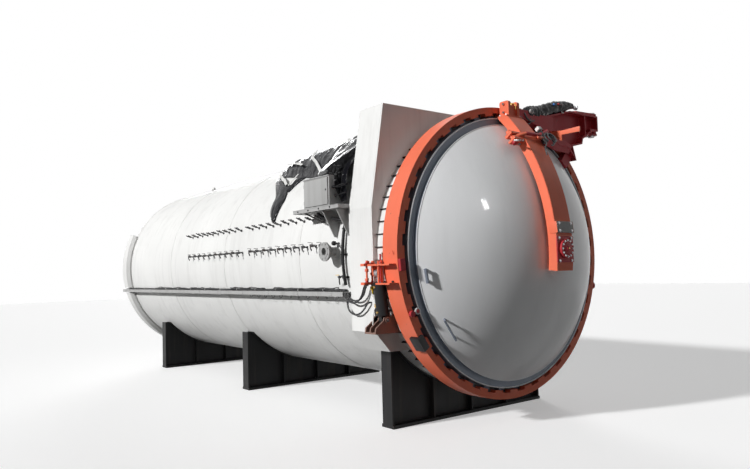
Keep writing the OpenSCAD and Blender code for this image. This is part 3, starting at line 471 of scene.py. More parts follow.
# %% Box, bar and bolt
class Bars(Bodies):
    """Adds what is sawn from stock."""

    def box(self, low, high, soften=0.002, place=None):
        part = bmesh.new()
        bmesh.ops.create_cube(part, size=1.0)
        low, high = Vector(low), Vector(high)
        size, middle = high - low, (high + low) / 2
        part.transform(Matrix.Translation(middle) @ Matrix.Diagonal((*size, 1)))
        return self.add(part, place, soften)

    def rod(self, a, b, radius, end_radius=None, sides=16, soften=0.0):
        a, b = Vector(a), Vector(b)
        part = bmesh.new()
        bmesh.ops.create_cone(part, cap_ends=True, cap_tris=False, segments=sides, radius1=radius,
                              radius2=radius if end_radius is None else end_radius, depth=(b - a).length)
        return self.add(part, facing((a + b) / 2, b - a), soften)

    def ball(self, centre, radius, squash=(1, 1, 1)):
        part = bmesh.new()
        bmesh.ops.create_icosphere(part, subdivisions=3, radius=radius)
        return self.add(part, Matrix.Translation(Vector(centre)) @ Matrix.Diagonal((*squash, 1)))

    def bolt(self, base, direction, across=0.03, height=0.018, washer=True):
        """A hexagon head on its washer."""
        base, direction = Vector(base), Vector(direction).normalized()
        if washer:
            self.rod(base, base + direction * 0.003, across * 0.72, sides=18)
        return self.rod(base, base + direction * height, across * 0.577, sides=6, soften=across * 0.05)


# %% Faces between rings
def join_rings(part, rings, caps=True):
    """Faces between each ring of vertices and the next, and on both ends."""
    count = len(rings[0])
    for low, high in zip(rings, rings[1:]):
        for k in range(count):
            part.faces.new((low[k], low[(k + 1) % count], high[(k + 1) % count], high[k]))
    if caps:
        part.faces.new(rings[0][::-1])
        part.faces.new(rings[-1])


# %% Turned, cut and bent
class Shape(Bars):
    """Adds what is turned on a lathe, cut from plate or bent from bar and hose."""

    def lathe(self, profile, place, steps=32):
        """Turns (radius, height) points about Z. The profile starts and ends on the axis, or closes."""
        part = bmesh.new()
        rings = []
        for radius, height in profile:
            if radius < 1e-6:
                rings.append([part.verts.new((0, 0, height))] * steps)
            else:
                rings.append([part.verts.new((radius * math.cos(math.tau * k / steps),
                                              radius * math.sin(math.tau * k / steps), height))
                              for k in range(steps)])
        on_axis = profile[0][0] < 1e-6 and profile[-1][0] < 1e-6
        for i in range(len(rings) - (1 if on_axis else 0)):
            low, high = rings[i], rings[(i + 1) % len(rings)]
            for k in range(steps):
                corner = [low[k], low[(k + 1) % steps], high[(k + 1) % steps], high[k]]
                corner = [v for j, v in enumerate(corner) if v not in corner[:j]]
                if len(corner) > 2:
                    part.faces.new(corner)
        return self.add(part, place)

    def plate(self, outline, thickness, place, soften=0.002):
        """A flat plate with that outline, thickness along Z."""
        part = bmesh.new()
        face = part.faces.new([part.verts.new((x, y, 0)) for x, y in outline])
        lift = bmesh.ops.extrude_face_region(part, geom=[face])["geom"]
        moved = [v for v in lift if isinstance(v, bmesh.types.BMVert)]
        bmesh.ops.translate(part, vec=(0, 0, thickness), verts=moved)
        return self.add(part, place, soften)

    def tube(self, points, radius, sides=8):
        """A round bar or hose that follows the points."""
        points = [Vector(p) for p in points]
        part = bmesh.new()
        rings, side = [], None
        for i, point in enumerate(points):
            ahead = (points[min(i + 1, len(points) - 1)] - points[max(i - 1, 0)]).normalized()
            side = ahead.orthogonal() if side is None else side - ahead * side.dot(ahead)
            side.normalize()
            up = ahead.cross(side)
            rings.append([part.verts.new(point + radius * (side * math.cos(math.tau * k / sides)
                                                           + up * math.sin(math.tau * k / sides)))
                          for k in range(sides)])
        join_rings(part, rings)
        return self.add(part)

    def hose(self, points, radius, sides=8, steps=6):
        """A tube along the smooth curve through the points."""
        return self.tube(smooth(points, steps), radius, sides)

# %% [markdown]
# ## Broken edges
# Flame-cut and welded plate never has a perfectly sharp edge: it is ground, and paint rounds it further.
# That thin rounded edge is what catches the light. The Bevel modifier does it on a merged copy of each
# model piece, and the copy stands in for the piece. Domes and rolled shells keep their own mesh.

# %% A copy with broken edges
body_of = {node: body for body, nodes in frame["record"]["behaviour"]["bodies"].items() for node in nodes}


def kept_mesh(holder):
    """The holder's mesh with its modifiers applied. The holder itself is removed."""
    graph = bpy.context.evaluated_depsgraph_get()
    data = bpy.data.meshes.new_from_object(holder.evaluated_get(graph), depsgraph=graph)
    holder.modifiers.clear()
    bpy.data.objects.remove(holder)
    return data


def edged(node, width, material=None, angle=30, segments=2):
    """Replaces a model piece by a copy whose edges are rounded by that width."""
    data = frame["nodes"][node].data.copy()
    part = bmesh.new()
    part.from_mesh(data)
    bmesh.ops.remove_doubles(part, verts=part.verts, dist=1e-5)
    bmesh.ops.dissolve_limit(part, angle_limit=math.radians(0.2), verts=part.verts, edges=part.edges)
    for face in part.faces:
        face.smooth = True
    part.to_mesh(data)
    part.free()
    if data.attributes.get("custom_normal"):
        data.attributes.remove(data.attributes["custom_normal"])
    data.materials.clear()
    data.materials.append(material or FINISH_OF_SLOT[slot_of[node]])
    holder = bpy.data.objects.new("holder", data)
    bpy.context.scene.collection.objects.link(holder)
    bevel = holder.modifiers.new("broken_edge", "BEVEL")
    bevel.width, bevel.segments, bevel.limit_method = width, segments, "ANGLE"
    bevel.angle_limit, bevel.harden_normals = math.radians(angle), True
    bevel.miter_outer = "MITER_ARC"
    rounded = kept_mesh(holder)
    rounded.name = node + "_plate"
    piece = link(rounded.name, rounded, body_of[node])
    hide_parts(node)
    return piece


# %% Soften the model's own pieces
EDGES = {
    "casing_front_plate": 0.003, "lock_ring": 0.003, "door_beam": 0.005, "beam_lugs": 0.005,
    "door_boss": 0.0025, "jib_arm": 0.005, "jib_knee": 0.004, "beam_bracket": 0.003, "hinge_bracket": 0.004,
    "front_saddle": 0.004, "middle_saddle": 0.004, "rear_saddle": 0.004, "lifting_lugs": 0.003,
    "side_shelf": 0.003, "drive_bracket": 0.003, "ring_ear": 0.003, "ring_blocks": 0.004,
    "interlock_frame": 0.003, "drive_barrel": 0.004, "drive_rod": 0.003, "hinge_pin": 0.003,
    "flange_gussets": 0.0015,
}
for node, width in EDGES.items():
    edged(node, width)
print("rounded the edges of", len(EDGES), "pieces")

# %% [markdown]
# ## Geometry trees
# Weld beads, bolt circles, valve rows and cable bundles all follow a rule: the same thing, again and
# again, along a path. Placing them by hand would be slow and would look it. Geometry Nodes take the path
# and the small piece as inputs, with named sizes, and a fixed seed gives each copy its own turn. Each
# tree ends by making its copies real, because a copy that only points at another mesh is lost on export.


# %% A small builder for geometry trees
class Graph(NodeTree):
    """A Geometry Nodes tree with named inputs."""

    def __init__(self, name, **inputs):
        super().__init__(bpy.data.node_groups.new(name, "GeometryNodeTree"))
        self.key = {}
        sockets = self.tree.interface
        sockets.new_socket("Geometry", in_out="INPUT", socket_type="NodeSocketGeometry")
        for label, value in {**inputs, "Finish": "Material"}.items():
            kind = {int: "Int", float: "Float"}.get(type(value), value)
            item = sockets.new_socket(label, in_out="INPUT", socket_type="NodeSocket" + kind)
            if kind in ("Int", "Float"):
                item.default_value = value
            self.key[label] = item.identifier
        sockets.new_socket("Geometry", in_out="OUTPUT", socket_type="NodeSocketGeometry")
        self.given = self.tree.nodes.new("NodeGroupInput").outputs
        self.result = self.tree.nodes.new("NodeGroupOutput").inputs[0]

    def vectors(self, operation, *values):
        node = self.add("ShaderNodeVectorMath", {"operation": operation})
        sockets = (node.inputs[0], node.inputs[3]) if operation == "SCALE" else node.inputs
        for socket, value in zip(sockets, values):
            self.put(socket, value)
        return node.outputs[0]

    def chance(self, low, high, **inputs):
        """A random vector between low and high for each copy."""
        pick = self.add("FunctionNodeRandomValue", {"data_type": "FLOAT_VECTOR"}, Seed=self.given["Seed"],
                        **inputs)
        pick.inputs["Min"].default_value, pick.inputs["Max"].default_value = low, high
        return pick.outputs[0]

    def wander(self, size, amount, turn):
        """A smooth random shift that changes from place to place."""
        where = self.add("GeometryNodeInputPosition").outputs[0]
        cloud = self.add("ShaderNodeTexNoise", {"noise_dimensions": "4D"}, Vector=where, W=turn, Scale=size,
                         Detail=2.0)
        centred = self.vectors("SUBTRACT", cloud.outputs["Color"], (0.5, 0.5, 0.5))
        return self.vectors("SCALE", centred, amount)

    def path(self):
        """The given edges as a curve with even steps."""
        curve = self.add("GeometryNodeMeshToCurve", Mesh=self.given["Geometry"])
        even = self.add("GeometryNodeResampleCurve", {"mode": "LENGTH"}, Curve=curve.outputs[0],
                        Length=self.given["Step"])
        return even.outputs[0]

    def finish(self, shape):
        real = self.add("GeometryNodeRealizeInstances", Geometry=shape).outputs[0]
        painted = self.add("GeometryNodeSetMaterial", Geometry=real, Material=self.given["Finish"])
        self.tree.links.new(painted.outputs[0], self.result)
        return self

    def swept(self, curve, sides):
        """Ends the tree with round bars along the curve."""
        ring = self.add("GeometryNodeCurvePrimitiveCircle", Resolution=sides, Radius=self.given["Radius"])
        solid = self.add("GeometryNodeCurveToMesh", Curve=curve, Profile_Curve=ring.outputs[0],
                         Fill_Caps=True)
        return self.finish(solid.outputs[0])

    def copied(self, points, turns):
        """Ends the tree with a copy of the tool on each point."""
        tool = self.add("GeometryNodeObjectInfo", Object=self.given["Tool"])
        copies = self.add("GeometryNodeInstanceOnPoints", Points=points, Instance=tool.outputs["Geometry"],
                          Rotation=turns)
        return self.finish(copies.outputs[0])


# %% Running a tree
def path_data(name, routes):
    """Edges along each route of points, for a tree to follow."""
    data, points, edges = bpy.data.meshes.new(name), [], []
    for route in routes:
        edges += [(len(points) + i, len(points) + i + 1) for i in range(len(route) - 1)]
        points += [tuple(p) for p in route]
    data.from_pydata(points, edges, [])
    return data


def grow(name, graph, finish, body="vessel", slot=None, routes=None, place=None, replaces=None, **values):
    """Runs a tree and keeps its result as one plain mesh."""
    holder = bpy.data.objects.new(name + "_seed", path_data(name + "_seed", routes or []))
    bpy.context.scene.collection.objects.link(holder)
    modifier = holder.modifiers.new("tree", "NODES")
    modifier.node_group = graph.tree
    for label, value in {**values, "Finish": finish}.items():
        modifier[graph.key[label]] = value
    data = kept_mesh(holder)
    if place is not None:
        data.transform(place)
    data.name = name
    data.set_sharp_from_angle(angle=SHARP_EDGE)
    piece = link(name, data, body, None)
    if replaces:
        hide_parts(replaces)
    print(name, len(data.polygons), "faces")
    return piece


def pattern(shape, name):
    """A small piece for a tree to copy. It is never in the scene itself."""
    data = bpy.data.meshes.new(name)
    shape.mesh.to_mesh(data)
    shape.mesh.free()
    data.materials.append(shape.finishes[0])
    data.set_sharp_from_angle(angle=SHARP_EDGE)
    return bpy.data.objects.new(name, data)


# %% Tree: a bead along a path
def bead_tree():
    g = Graph("bead_along_path", Radius=0.004, Step=0.03, Ripple=0.002, Ripples=40.0, Seed=1.0)
    shift = g.wander(g.given["Ripples"], g.given["Ripple"], g.given["Seed"])
    moved = g.add("GeometryNodeSetPosition", Geometry=g.path(), Offset=shift)
    return g.swept(moved.outputs[0], 7)


# %% Tree: loose cables side by side
def bundle_tree():
    g = Graph("cable_bundle", Count=5, Spread_Y=0.03, Spread_Z=0.02, Radius=0.008, Step=0.06, Wander=0.03,
              Waves=1.5, Seed=1)
    copies = g.add("GeometryNodeDuplicateElements", {"domain": "SPLINE"}, Geometry=g.path(),
                   Amount=g.given["Count"])
    number = copies.outputs["Duplicate Index"]
    pick = g.chance((0, -1, -1), (0, 1, 1), ID=number)
    reach = g.add("ShaderNodeCombineXYZ", Y=g.given["Spread_Y"], Z=g.given["Spread_Z"])
    apart = g.vectors("MULTIPLY", pick, reach.outputs[0])
    turn = g.maths("MULTIPLY_ADD", number, 7.31, g.given["Seed"])
    sway = g.wander(g.given["Waves"], g.given["Wander"], turn)
    moved = g.add("GeometryNodeSetPosition", Geometry=copies.outputs["Geometry"],
                  Offset=g.vectors("ADD", apart, sway))
    return g.swept(moved.outputs[0], 6)


# %% Tree: copies round a circle
def circle_tree():
    g = Graph("bolt_circle", Tool="Object", Count=12, Radius=0.1, Seed=1)
    ring = g.add("GeometryNodeMeshCircle", Vertices=g.given["Count"], Radius=g.given["Radius"])
    return g.copied(ring.outputs[0], g.chance((0, 0, 0), (0, 0, math.tau)))


# %% Tree: a row with a wider gap in its middle
def row_tree():
    g = Graph("row", Tool="Object", Count=20, Step=0.2, Gap=0.0, Half=10, Lean=0.05, Seed=1)
    reach = g.add("ShaderNodeCombineXYZ", X=g.given["Step"])
    line = g.add("GeometryNodeMeshLine", Count=g.given["Count"], Offset=reach.outputs[0])
    number = g.add("GeometryNodeInputIndex").outputs[0]
    past = g.maths("GREATER_THAN", number, g.maths("SUBTRACT", g.given["Half"], 0.5))
    jump = g.add("ShaderNodeCombineXYZ", X=g.maths("MULTIPLY", past, g.given["Gap"]))
    moved = g.add("GeometryNodeSetPosition", Geometry=line.outputs[0], Offset=jump.outputs[0])
    return g.copied(moved.outputs[0], g.vectors("SCALE", g.chance((-1, -1, -1), (1, 1, 1)), g.given["Lean"]))


# %% Tree: copies along a path, turned with it
def follow_tree():
    g = Graph("along_path", Tool="Object", Pitch=0.3, Seed=1)
    curve = g.add("GeometryNodeMeshToCurve", Mesh=g.given["Geometry"])
    spots = g.add("GeometryNodeCurveToPoints", {"mode": "LENGTH"}, Curve=curve.outputs[0],
                  Length=g.given["Pitch"])
    return g.copied(spots.outputs["Points"], spots.outputs["Rotation"])


BEAD, BUNDLE, CIRCLE, ROW, FOLLOW = bead_tree(), bundle_tree(), circle_tree(), row_tree(), follow_tree()
print("trees:", [g.tree.name for g in (BEAD, BUNDLE, CIRCLE, ROW, FOLLOW)])

# %% [markdown]
# ## Welds
# The shell is rolled from plates, so a weld bead runs round it at each joint, and others tie the casing
# and the saddles to it. They show as thin raised lines. Each bead here is a rounded bar along its path,
# shaken a little, in the paint of the part it sits on.


# %% Weld beads
def arc(x, start, stop, radius, step=1.5):
    """Points round the vessel's axis at one place along it."""
    count = max(2, round(abs(stop - start) / step))
    return [around(x, start + (stop - start) * k / count, radius) for k in range(count + 1)]


PLATE_LENGTH, SHELL_END = 2.508, 0.53
SADDLES_X, SADDLE_HALF = (0, -3.95, -7.9), 0.102
SEAMS = [SHELL_X0 + PLATE_LENGTH * k for k in range(4)]
LONG_SEAMS = zip(SEAMS, SEAMS[1:] + [SHELL_END], (64, 118, 66, 114))
white_bead = {"slot": "white_paint", "Ripple": 0.003}
grow("shell_seams", BEAD, WHITE, routes=[arc(x, 0, 360, SHELL_R) for x in SEAMS], Radius=0.0055, Step=0.035,
     **white_bead)
grow("long_seams", BEAD, WHITE, Radius=0.005, Step=0.04, **white_bead,
     routes=[[around(a, d, SHELL_R), around(b, d, SHELL_R)] for a, b, d in LONG_SEAMS])
grow("casing_weld", BEAD, WHITE, Radius=0.005, Step=0.03, **white_bead,
     routes=[arc(CASING_X1 + 0.002, 0, 360, SHELL_R + 0.004)])
grow("saddle_welds", BEAD, BLACK, slot="black_paint", Radius=0.005, Step=0.04, Ripple=0.003,
     routes=[arc(x + side * SADDLE_HALF, -44, -136, SHELL_R + 0.004) for x in SADDLES_X for side in (-1, 1)])

# %% [markdown]
# ## Valve rows
# Two rows of small vacuum and sensor ports run along the side. Each upper one is a slim nipple with a
# cock and a hose tail. Each lower one has a ball valve with a flat lever and a bent outlet. One valve of
# each sort is modelled, and the row tree sets twenty of them out with the wider gap in the middle and a
# slightly different lean for each, as hand-tightened fittings have.

# %% One upper port, one lower port and its lever
# X points to the rear, Y down and Z away from the shell.
PORT_STEPS = 14
port = Shape(DARK_STEEL)
port.lathe([(0, -0.02), (0.020, -0.02), (0.020, 0.008), (0.015, 0.014), (0.010, 0.016), (0.010, 0.052),
            (0.017, 0.053), (0.017, 0.078), (0.012, 0.081), (0.012, 0.098), (0.015, 0.100), (0.015, 0.112),
            (0.008, 0.115), (0.010, 0.122), (0.008, 0.124), (0.010, 0.131), (0.008, 0.133), (0.010, 0.141),
            (0.006, 0.147), (0, 0.147)], Matrix.Identity(4), PORT_STEPS)
port.rod((0, 0, 0.09), (0, -0.022, 0.09), 0.005, sides=8)
port.box((-0.006, -0.026, 0.086), (0.040, -0.022, 0.098), 0.001)
UPPER_PORT = pattern(port, "upper_port")

valve = Shape(DARK_STEEL)
valve.lathe([(0, -0.02), (0.018, -0.02), (0.018, 0.008), (0.010, 0.014), (0.010, 0.044), (0.016, 0.045),
             (0.016, 0.058), (0.021, 0.062), (0.021, 0.086), (0.016, 0.090), (0.016, 0.102), (0, 0.104)],
            Matrix.Identity(4), PORT_STEPS)
valve.tube([(0, 0.0, 0.092), (0, 0.020, 0.094), (-0.004, 0.040, 0.090), (-0.012, 0.058, 0.084),
            (-0.020, 0.072, 0.078)], 0.010, 8)
valve.rod((0, 0, 0.074), (0, -0.034, 0.074), 0.006, sides=8)
LOWER_PORT = pattern(valve, "lower_port")

lever = Shape(BLACK)
lever.box((-0.010, -0.042, 0.066), (0.030, -0.037, 0.082), 0.001)
lever.box((0.028, -0.044, 0.065), (0.105, -0.038, 0.083), 0.002)
LEVER = pattern(lever, "lever")
print("one port of each row is ready")


# %% Both rows
def row_place(x, height):
    """Where a row starts on the shell: X to the rear, Z outwards."""
    degrees = math.degrees(math.asin(height / SHELL_R))
    return facing(around(x, degrees, SHELL_R), outward(degrees), (-1, 0, 0))


ports = {"Count": 20, "Step": 0.229, "Gap": 0.18, "Half": 10}
upper_row, lower_row = row_place(-1.0, 0.530), row_place(-0.82, 0.152)
grow("upper_port_row", ROW, DARK_STEEL, slot="bare_steel", place=upper_row, replaces="upper_ports",
     Tool=UPPER_PORT, Lean=0.10, Seed=3, **ports)
grow("lower_port_row", ROW, DARK_STEEL, slot="bare_steel", place=lower_row, replaces="lower_ports",
     Tool=LOWER_PORT, Lean=0.07, Seed=5, **ports)
grow("lower_port_levers", ROW, BLACK, slot="black_paint", place=lower_row, Tool=LEVER, Lean=0.07, Seed=5,
     **ports)

# %% [markdown]
# ## Side nozzle and its neighbours
# The nozzle is a short pipe with a loose flange, welded to the shell through a reinforcing pad. Its bolt
# holes stay empty for the pipe that the owner fits. Beside it sit a sensor pocket and a small test cock.

# %% Nozzle fittings
NOZZLE_AT = (-0.56, -SHELL_R, AXIS_Z + 0.06)
edged("side_nozzle", 0.002)
nozzle = Shape(WHITE)
pad, out = facing(NOZZLE_AT, (0, -1, 0.03)), facing(NOZZLE_AT, (0, -1, 0))
nozzle.lathe([(0.061, -0.012), (0.128, -0.020), (0.128, 0.006), (0.122, 0.012), (0.061, 0.014)], pad, 48)
nozzle.lathe([(0.059, 0.010), (0.076, 0.010), (0.072, 0.018), (0.066, 0.024), (0.059, 0.026)], pad, 48)
nozzle.use(GREY)
nozzle.lathe([(0.061, 0.118), (0.090, 0.118), (0.092, 0.121), (0.092, 0.128), (0.078, 0.136),
              (0.061, 0.160)], out, 48)
nozzle.lathe([(0.052, 0.190), (0.084, 0.190), (0.084, 0.193), (0.052, 0.193)], out, 48)
nozzle.finish("nozzle_fittings", slot="grey_paint")


# %% Sensor pocket and test cock
def spot_on(x, degrees):
    """A placing on the shell: X to the rear, Z outwards."""
    return facing(around(x, degrees, SHELL_R), outward(degrees), (-1, 0, 0))


def seen_from(place, points):
    return [place @ Vector(p) for p in points]


pocket = Shape(DARK_STEEL)
where = spot_on(-0.50, 5.2)
pocket.lathe([(0, -0.02), (0.024, -0.02), (0.024, 0.012), (0.012, 0.014), (0.012, 0.040), (0.017, 0.042),
              (0.017, 0.060), (0, 0.062)], where, 18)
pocket.use(BLACK).lathe([(0, 0.055), (0.026, 0.055), (0.030, 0.062), (0.030, 0.092), (0.024, 0.100),
                         (0, 0.100)], where, 18)
pocket.tube(seen_from(where, ((-0.025, 0, 0.08), (-0.07, 0.004, 0.082), (-0.11, 0.03, 0.07),
                              (-0.13, 0.07, 0.045), (-0.135, 0.12, 0.02))), 0.005)
where = spot_on(-0.44, -8.6)
pocket.use(DARK_STEEL).lathe([(0, -0.02), (0.020, -0.02), (0.020, 0.010), (0.010, 0.014), (0.010, 0.040),
                              (0.018, 0.044), (0.018, 0.072), (0, 0.074)], where, 18)
pocket.tube(seen_from(where, ((0, 0, 0.06), (0, 0.03, 0.062), (0.02, 0.07, 0.055), (0.045, 0.10, 0.035))),
            0.009)
pocket.use(YELLOW).box((-0.006, -0.030, 0.052), (0.075, -0.025, 0.066), 0.001, where)
pocket.finish("sensor_pocket", slot="bare_steel")

# %% [markdown]
# ## Cable duct
# The duct is folded sheet with covers that overlap at every joint. Fitters laid far more cable than it
# can hold, so a loose black bundle lies along its lid, tied with white bands, and slack loops hang below
# it. The bundle tree shifts each cable by its own smooth noise, so no two run parallel.

# %% Duct joints
DUCT_Y0, DUCT_Y1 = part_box("cable_duct")[0].y, -1.718
DUCT_Z1 = AXIS_Z - 0.467
DUCT_Z0 = DUCT_Z1 - 0.060
DUCT_REAR = -9.2
edged("cable_duct", 0.003)
joint = Shape(GREY)
joint.box((-0.02, -0.002, -0.002), (0.02, DUCT_Y1 - DUCT_Y0 - 0.004, 0.0015), 0.0006)
joint.box((-0.02, -0.003, -0.064), (0.02, -0.0005, 0.0015), 0.0006)
for z in (-0.015, -0.045):
    joint.bolt((0.0, -0.002, z), (0, -1, 0), 0.010, 0.005)
grow("duct_joints", ROW, GREY, slot="grey_paint", Tool=pattern(joint, "duct_joint"), Count=11, Step=0.86,
     place=Matrix.Translation((DUCT_REAR, DUCT_Y0, DUCT_Z1 + 0.001)), Gap=0.0, Half=20, Lean=0.0, Seed=1)

# %% Loose cables on the duct
DUCT_MID = (DUCT_Y0 + DUCT_Y1) / 2


def duct_run(x0, x1, height, step=0.25):
    """A straight route above the duct."""
    count = round((x1 - x0) / step)
    return [Vector((x0 + (x1 - x0) * k / count, DUCT_MID, DUCT_Z1 + height)) for k in range(count + 1)]


grow("duct_bundle", BUNDLE, RUBBER, slot="black_rubber", routes=[duct_run(-9.25, -0.38, 0.020)],
     Count=5, Spread_Y=0.042, Spread_Z=0.010, Radius=0.0075, Wander=0.030, Waves=1.1, Seed=4)
grow("duct_slack", BUNDLE, RUBBER, slot="black_rubber",
     routes=[duct_run(-7.1, -4.2, 0.030), duct_run(-3.7, -2.5, 0.034), duct_run(-2.2, -0.45, 0.036)],
     Count=4, Spread_Y=0.045, Spread_Z=0.012, Radius=0.008, Step=0.04, Wander=0.085, Waves=3.2, Seed=9)

# %% Ties round the cables and loops under the duct
band = Shape(WEBBING)
turns = [math.tau * k / 20 for k in range(21)]
band.tube([(0.062 * math.cos(a), 0.024 * math.sin(a), 0) for a in turns], 0.003, 5)
grow("duct_ties", FOLLOW, WEBBING, slot="white_paint", routes=[duct_run(-8.6, -0.8, 0.021)],
     Tool=pattern(band, "tie"), Pitch=0.63, Seed=1)
loop = Shape(RUBBER)
turns = [math.pi * k / 10 for k in range(11)]
loop.tube([(0.035 * math.cos(a), 0, -0.040 * math.sin(a)) for a in turns], 0.004, 6)
grow("duct_loops", ROW, RUBBER, slot="black_rubber", Tool=pattern(loop, "loop"), Count=11, Step=0.235,
     place=Matrix.Translation((-2.9, DUCT_Y0 + 0.025, DUCT_Z0 + 0.002)), Gap=0.05, Half=5, Lean=0.35, Seed=8)

# %% [markdown]
# ## Cabinet, shelf and conduit
# The control cabinet is sheet steel: a box with a separate door, a rain lip, hinges and a quarter-turn
# lock. Its cables leave by glands on the end towards the casing. A flexible hose brings the port cables
# from the shelf to a rigid conduit that runs down to the duct.

# %% Control cabinet
(left, front, bottom), (right, back, top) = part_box("control_cabinet")
cabinet = Shape(GREY)
cabinet.box((left + 0.01, front + 0.014, bottom), (right, back, top - 0.006), 0.006)
cabinet.box((left, front + 0.004, top - 0.014), (right, back, top), 0.003)
cabinet.box((left + 0.035, front, bottom + 0.02), (right - 0.025, front + 0.016, top - 0.03), 0.004)
cabinet.use(RUBBER).box((left + 0.030, front + 0.012, bottom + 0.015),
                        (right - 0.020, front + 0.0145, top - 0.025), 0.0005)
cabinet.use(DARK_STEEL)
for z in (bottom + 0.08, top - 0.10):
    cabinet.rod((left + 0.032, front + 0.008, z - 0.025), (left + 0.032, front + 0.008, z + 0.025), 0.007,
                sides=12)
cabinet.rod((right - 0.06, front + 0.004, bottom + 0.21), (right - 0.06, front - 0.004, bottom + 0.21), 0.014)
cabinet.use(BLACK)
reach = CASING_X0 - right
for y, up in ((-1.90, 0.13), (-1.93, 0.24), (-1.87, 0.24)):
    base = Vector((right, y, bottom + up))
    nut_end, tail_end = base + Vector((0.012, 0, 0)), base + Vector((0.032, 0, 0))
    cabinet.rod(base, nut_end, 0.021, sides=6, soften=0.002)
    cabinet.rod(nut_end, tail_end, 0.016, 0.011, sides=12)
    cabinet.tube([base + Vector(p) for p in ((0.02, 0, 0), (0.06, 0, -0.002), (reach * 0.6, 0.01, 0.012),
                                             (reach - 0.002, 0.012, 0.02))], 0.008)
cabinet.finish("cabinet_shell", slot="grey_paint", replaces="control_cabinet")

# %% Shelf fittings
SHELF_Z1 = AXIS_Z + 0.65
shelf_x, shelf_y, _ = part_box("side_shelf")[0]
shelf = Shape(GREY)
for z in (SHELF_Z1 - 0.050, SHELF_Z1 - 0.004):
    shelf.box((shelf_x + 0.004, shelf_y - 0.004, z), (CASING_X0 - 0.004, shelf_y + 0.030, z + 0.005), 0.001)
shelf.use(BLACK)
for x in (-1.12, -0.86, -0.60, -0.34):
    shelf.bolt((x, shelf_y, SHELF_Z1 - 0.025), (0, -1, 0), 0.016, 0.008)
for a, b in (((-1.05, -1.93, 2.80), (-0.80, -1.80, 2.66)), ((-0.80, -1.80, 2.66), (-0.74, -1.84, 2.80))):
    shelf.rod(a, b, 0.011, sides=10)
shelf.finish("shelf_fittings", slot="grey_paint")

# %% Conduit with its hose
CONDUIT_X = sum(corner.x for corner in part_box("conduit")) / 2
CONDUIT_R, CLAMP_R = SHELL_R + 0.045, 0.027
pipe = Shape(BLACK)
pipe.tube(arc(CONDUIT_X, -12, 13.5, CONDUIT_R, 0.75), 0.021, 12)
turns = [math.radians(-60 + 300 * k / 12) for k in range(13)]
for degrees in (-9, 0.5, 11):
    clamp = spot_on(CONDUIT_X, degrees)
    pipe.box((-0.048, -0.014, -0.002), (0.048, 0.014, 0.006), 0.001, clamp)
    pipe.tube(seen_from(clamp, [(CLAMP_R * math.cos(a), 0, 0.045 + CLAMP_R * math.sin(a)) for a in turns]),
              0.006, 6)
    pipe.bolt(clamp @ Vector((0.036, 0, 0.006)), outward(degrees), 0.012, 0.008, False)
pipe.use(RUBBER)
HOSE = smooth([(-0.86, -1.86, 2.815), (-0.84, -1.85, 2.77), (-0.76, -1.835, 2.725), (-0.62, -1.835, 2.70),
               (-0.50, -1.84, 2.69), (-0.40, -1.84, 2.672), (CONDUIT_X, -1.815, 2.66),
               around(CONDUIT_X, 13.4, CONDUIT_R)], 8)
pipe.tube(HOSE, 0.019, 12)
pipe.finish("conduit_pipe", slot="black_paint", replaces="conduit")
rib = Shape(RUBBER)
rib.lathe([(0.0185, -0.003), (0.023, 0), (0.0185, 0.003)], Matrix.Identity(4), PORT_STEPS)
grow("hose_ribs", FOLLOW, RUBBER, slot="black_rubber", routes=[HOSE], Tool=pattern(rib, "rib"), Pitch=0.009,
     Seed=1)

# %% [markdown]
# ## Ring drive and interlock
# A hydraulic cylinder turns the lock ring through its ear. Beside it hangs the safety interlock: rods that
# prove the ring is shut, a tag, a tee handle, and a bleed valve with a yellow lever and a taped pipe.
# Everything that moves with the ear rides on the ring, and the rest stays on the casing.

# %% Rods, tag and tee handle on the ear
EAR_X = 0.575
EAR_HIGH, EAR_LOW = AXIS_Z - 0.150, AXIS_Z - 0.370
ROD_OUT, ROD_MID, ROD_IN = -1.927, -1.889, -1.852
ear = Shape(RED)
ear.rod((EAR_X, ROD_OUT, EAR_LOW), (EAR_X, ROD_OUT, AXIS_Z - 0.012), 0.011)
ear.rod((0.700, -1.840, EAR_LOW + 0.02), (0.700, -1.838, EAR_HIGH + 0.002), 0.006, sides=10)
ear.rod((EAR_X, ROD_IN, EAR_LOW + 0.01), (EAR_X, ROD_IN, EAR_HIGH + 0.005), 0.008, sides=12)
ear.use(WHITE)
ear.rod((EAR_X, ROD_MID, EAR_LOW), (EAR_X, ROD_MID, AXIS_Z - 0.030), 0.009)
ear.box((0.572, -1.906, AXIS_Z - 0.048), (EAR_X, -1.802, AXIS_Z + 0.006), 0.001)
ear.use(DARK_STEEL)
for z in (EAR_HIGH, EAR_LOW):
    for y in (ROD_OUT, ROD_MID, ROD_IN):
        ear.bolt((EAR_X, y, z + 0.02), (0, 0, 1), 0.030, 0.012)
ear.use(BLACK)
ear.rod((0.70, -1.812, EAR_HIGH + 0.018), (0.70, -1.812, EAR_HIGH + 0.040), 0.010)
ear.rod((0.70, -1.845, EAR_HIGH + 0.043), (0.70, -1.785, EAR_HIGH + 0.043), 0.011, soften=0.003)
for y, z in ((-1.882, EAR_LOW + 0.02), (-1.845, EAR_LOW + 0.02), (-1.870, EAR_HIGH + 0.02)):
    ear.rod((0.74, y, z), (0.74, y, z + 0.022), 0.017, sides=6, soften=0.002)
ear.use(ORANGE)
ear.hose([(0.80, -1.868, EAR_HIGH + 0.02), (0.80, -1.875, EAR_HIGH + 0.06), high(0.80, -1.905, -0.03),
          high(0.80, -1.931, 0.02)], 0.0035, 6)
ear.finish("ear_fittings", "ring", "red_paint")

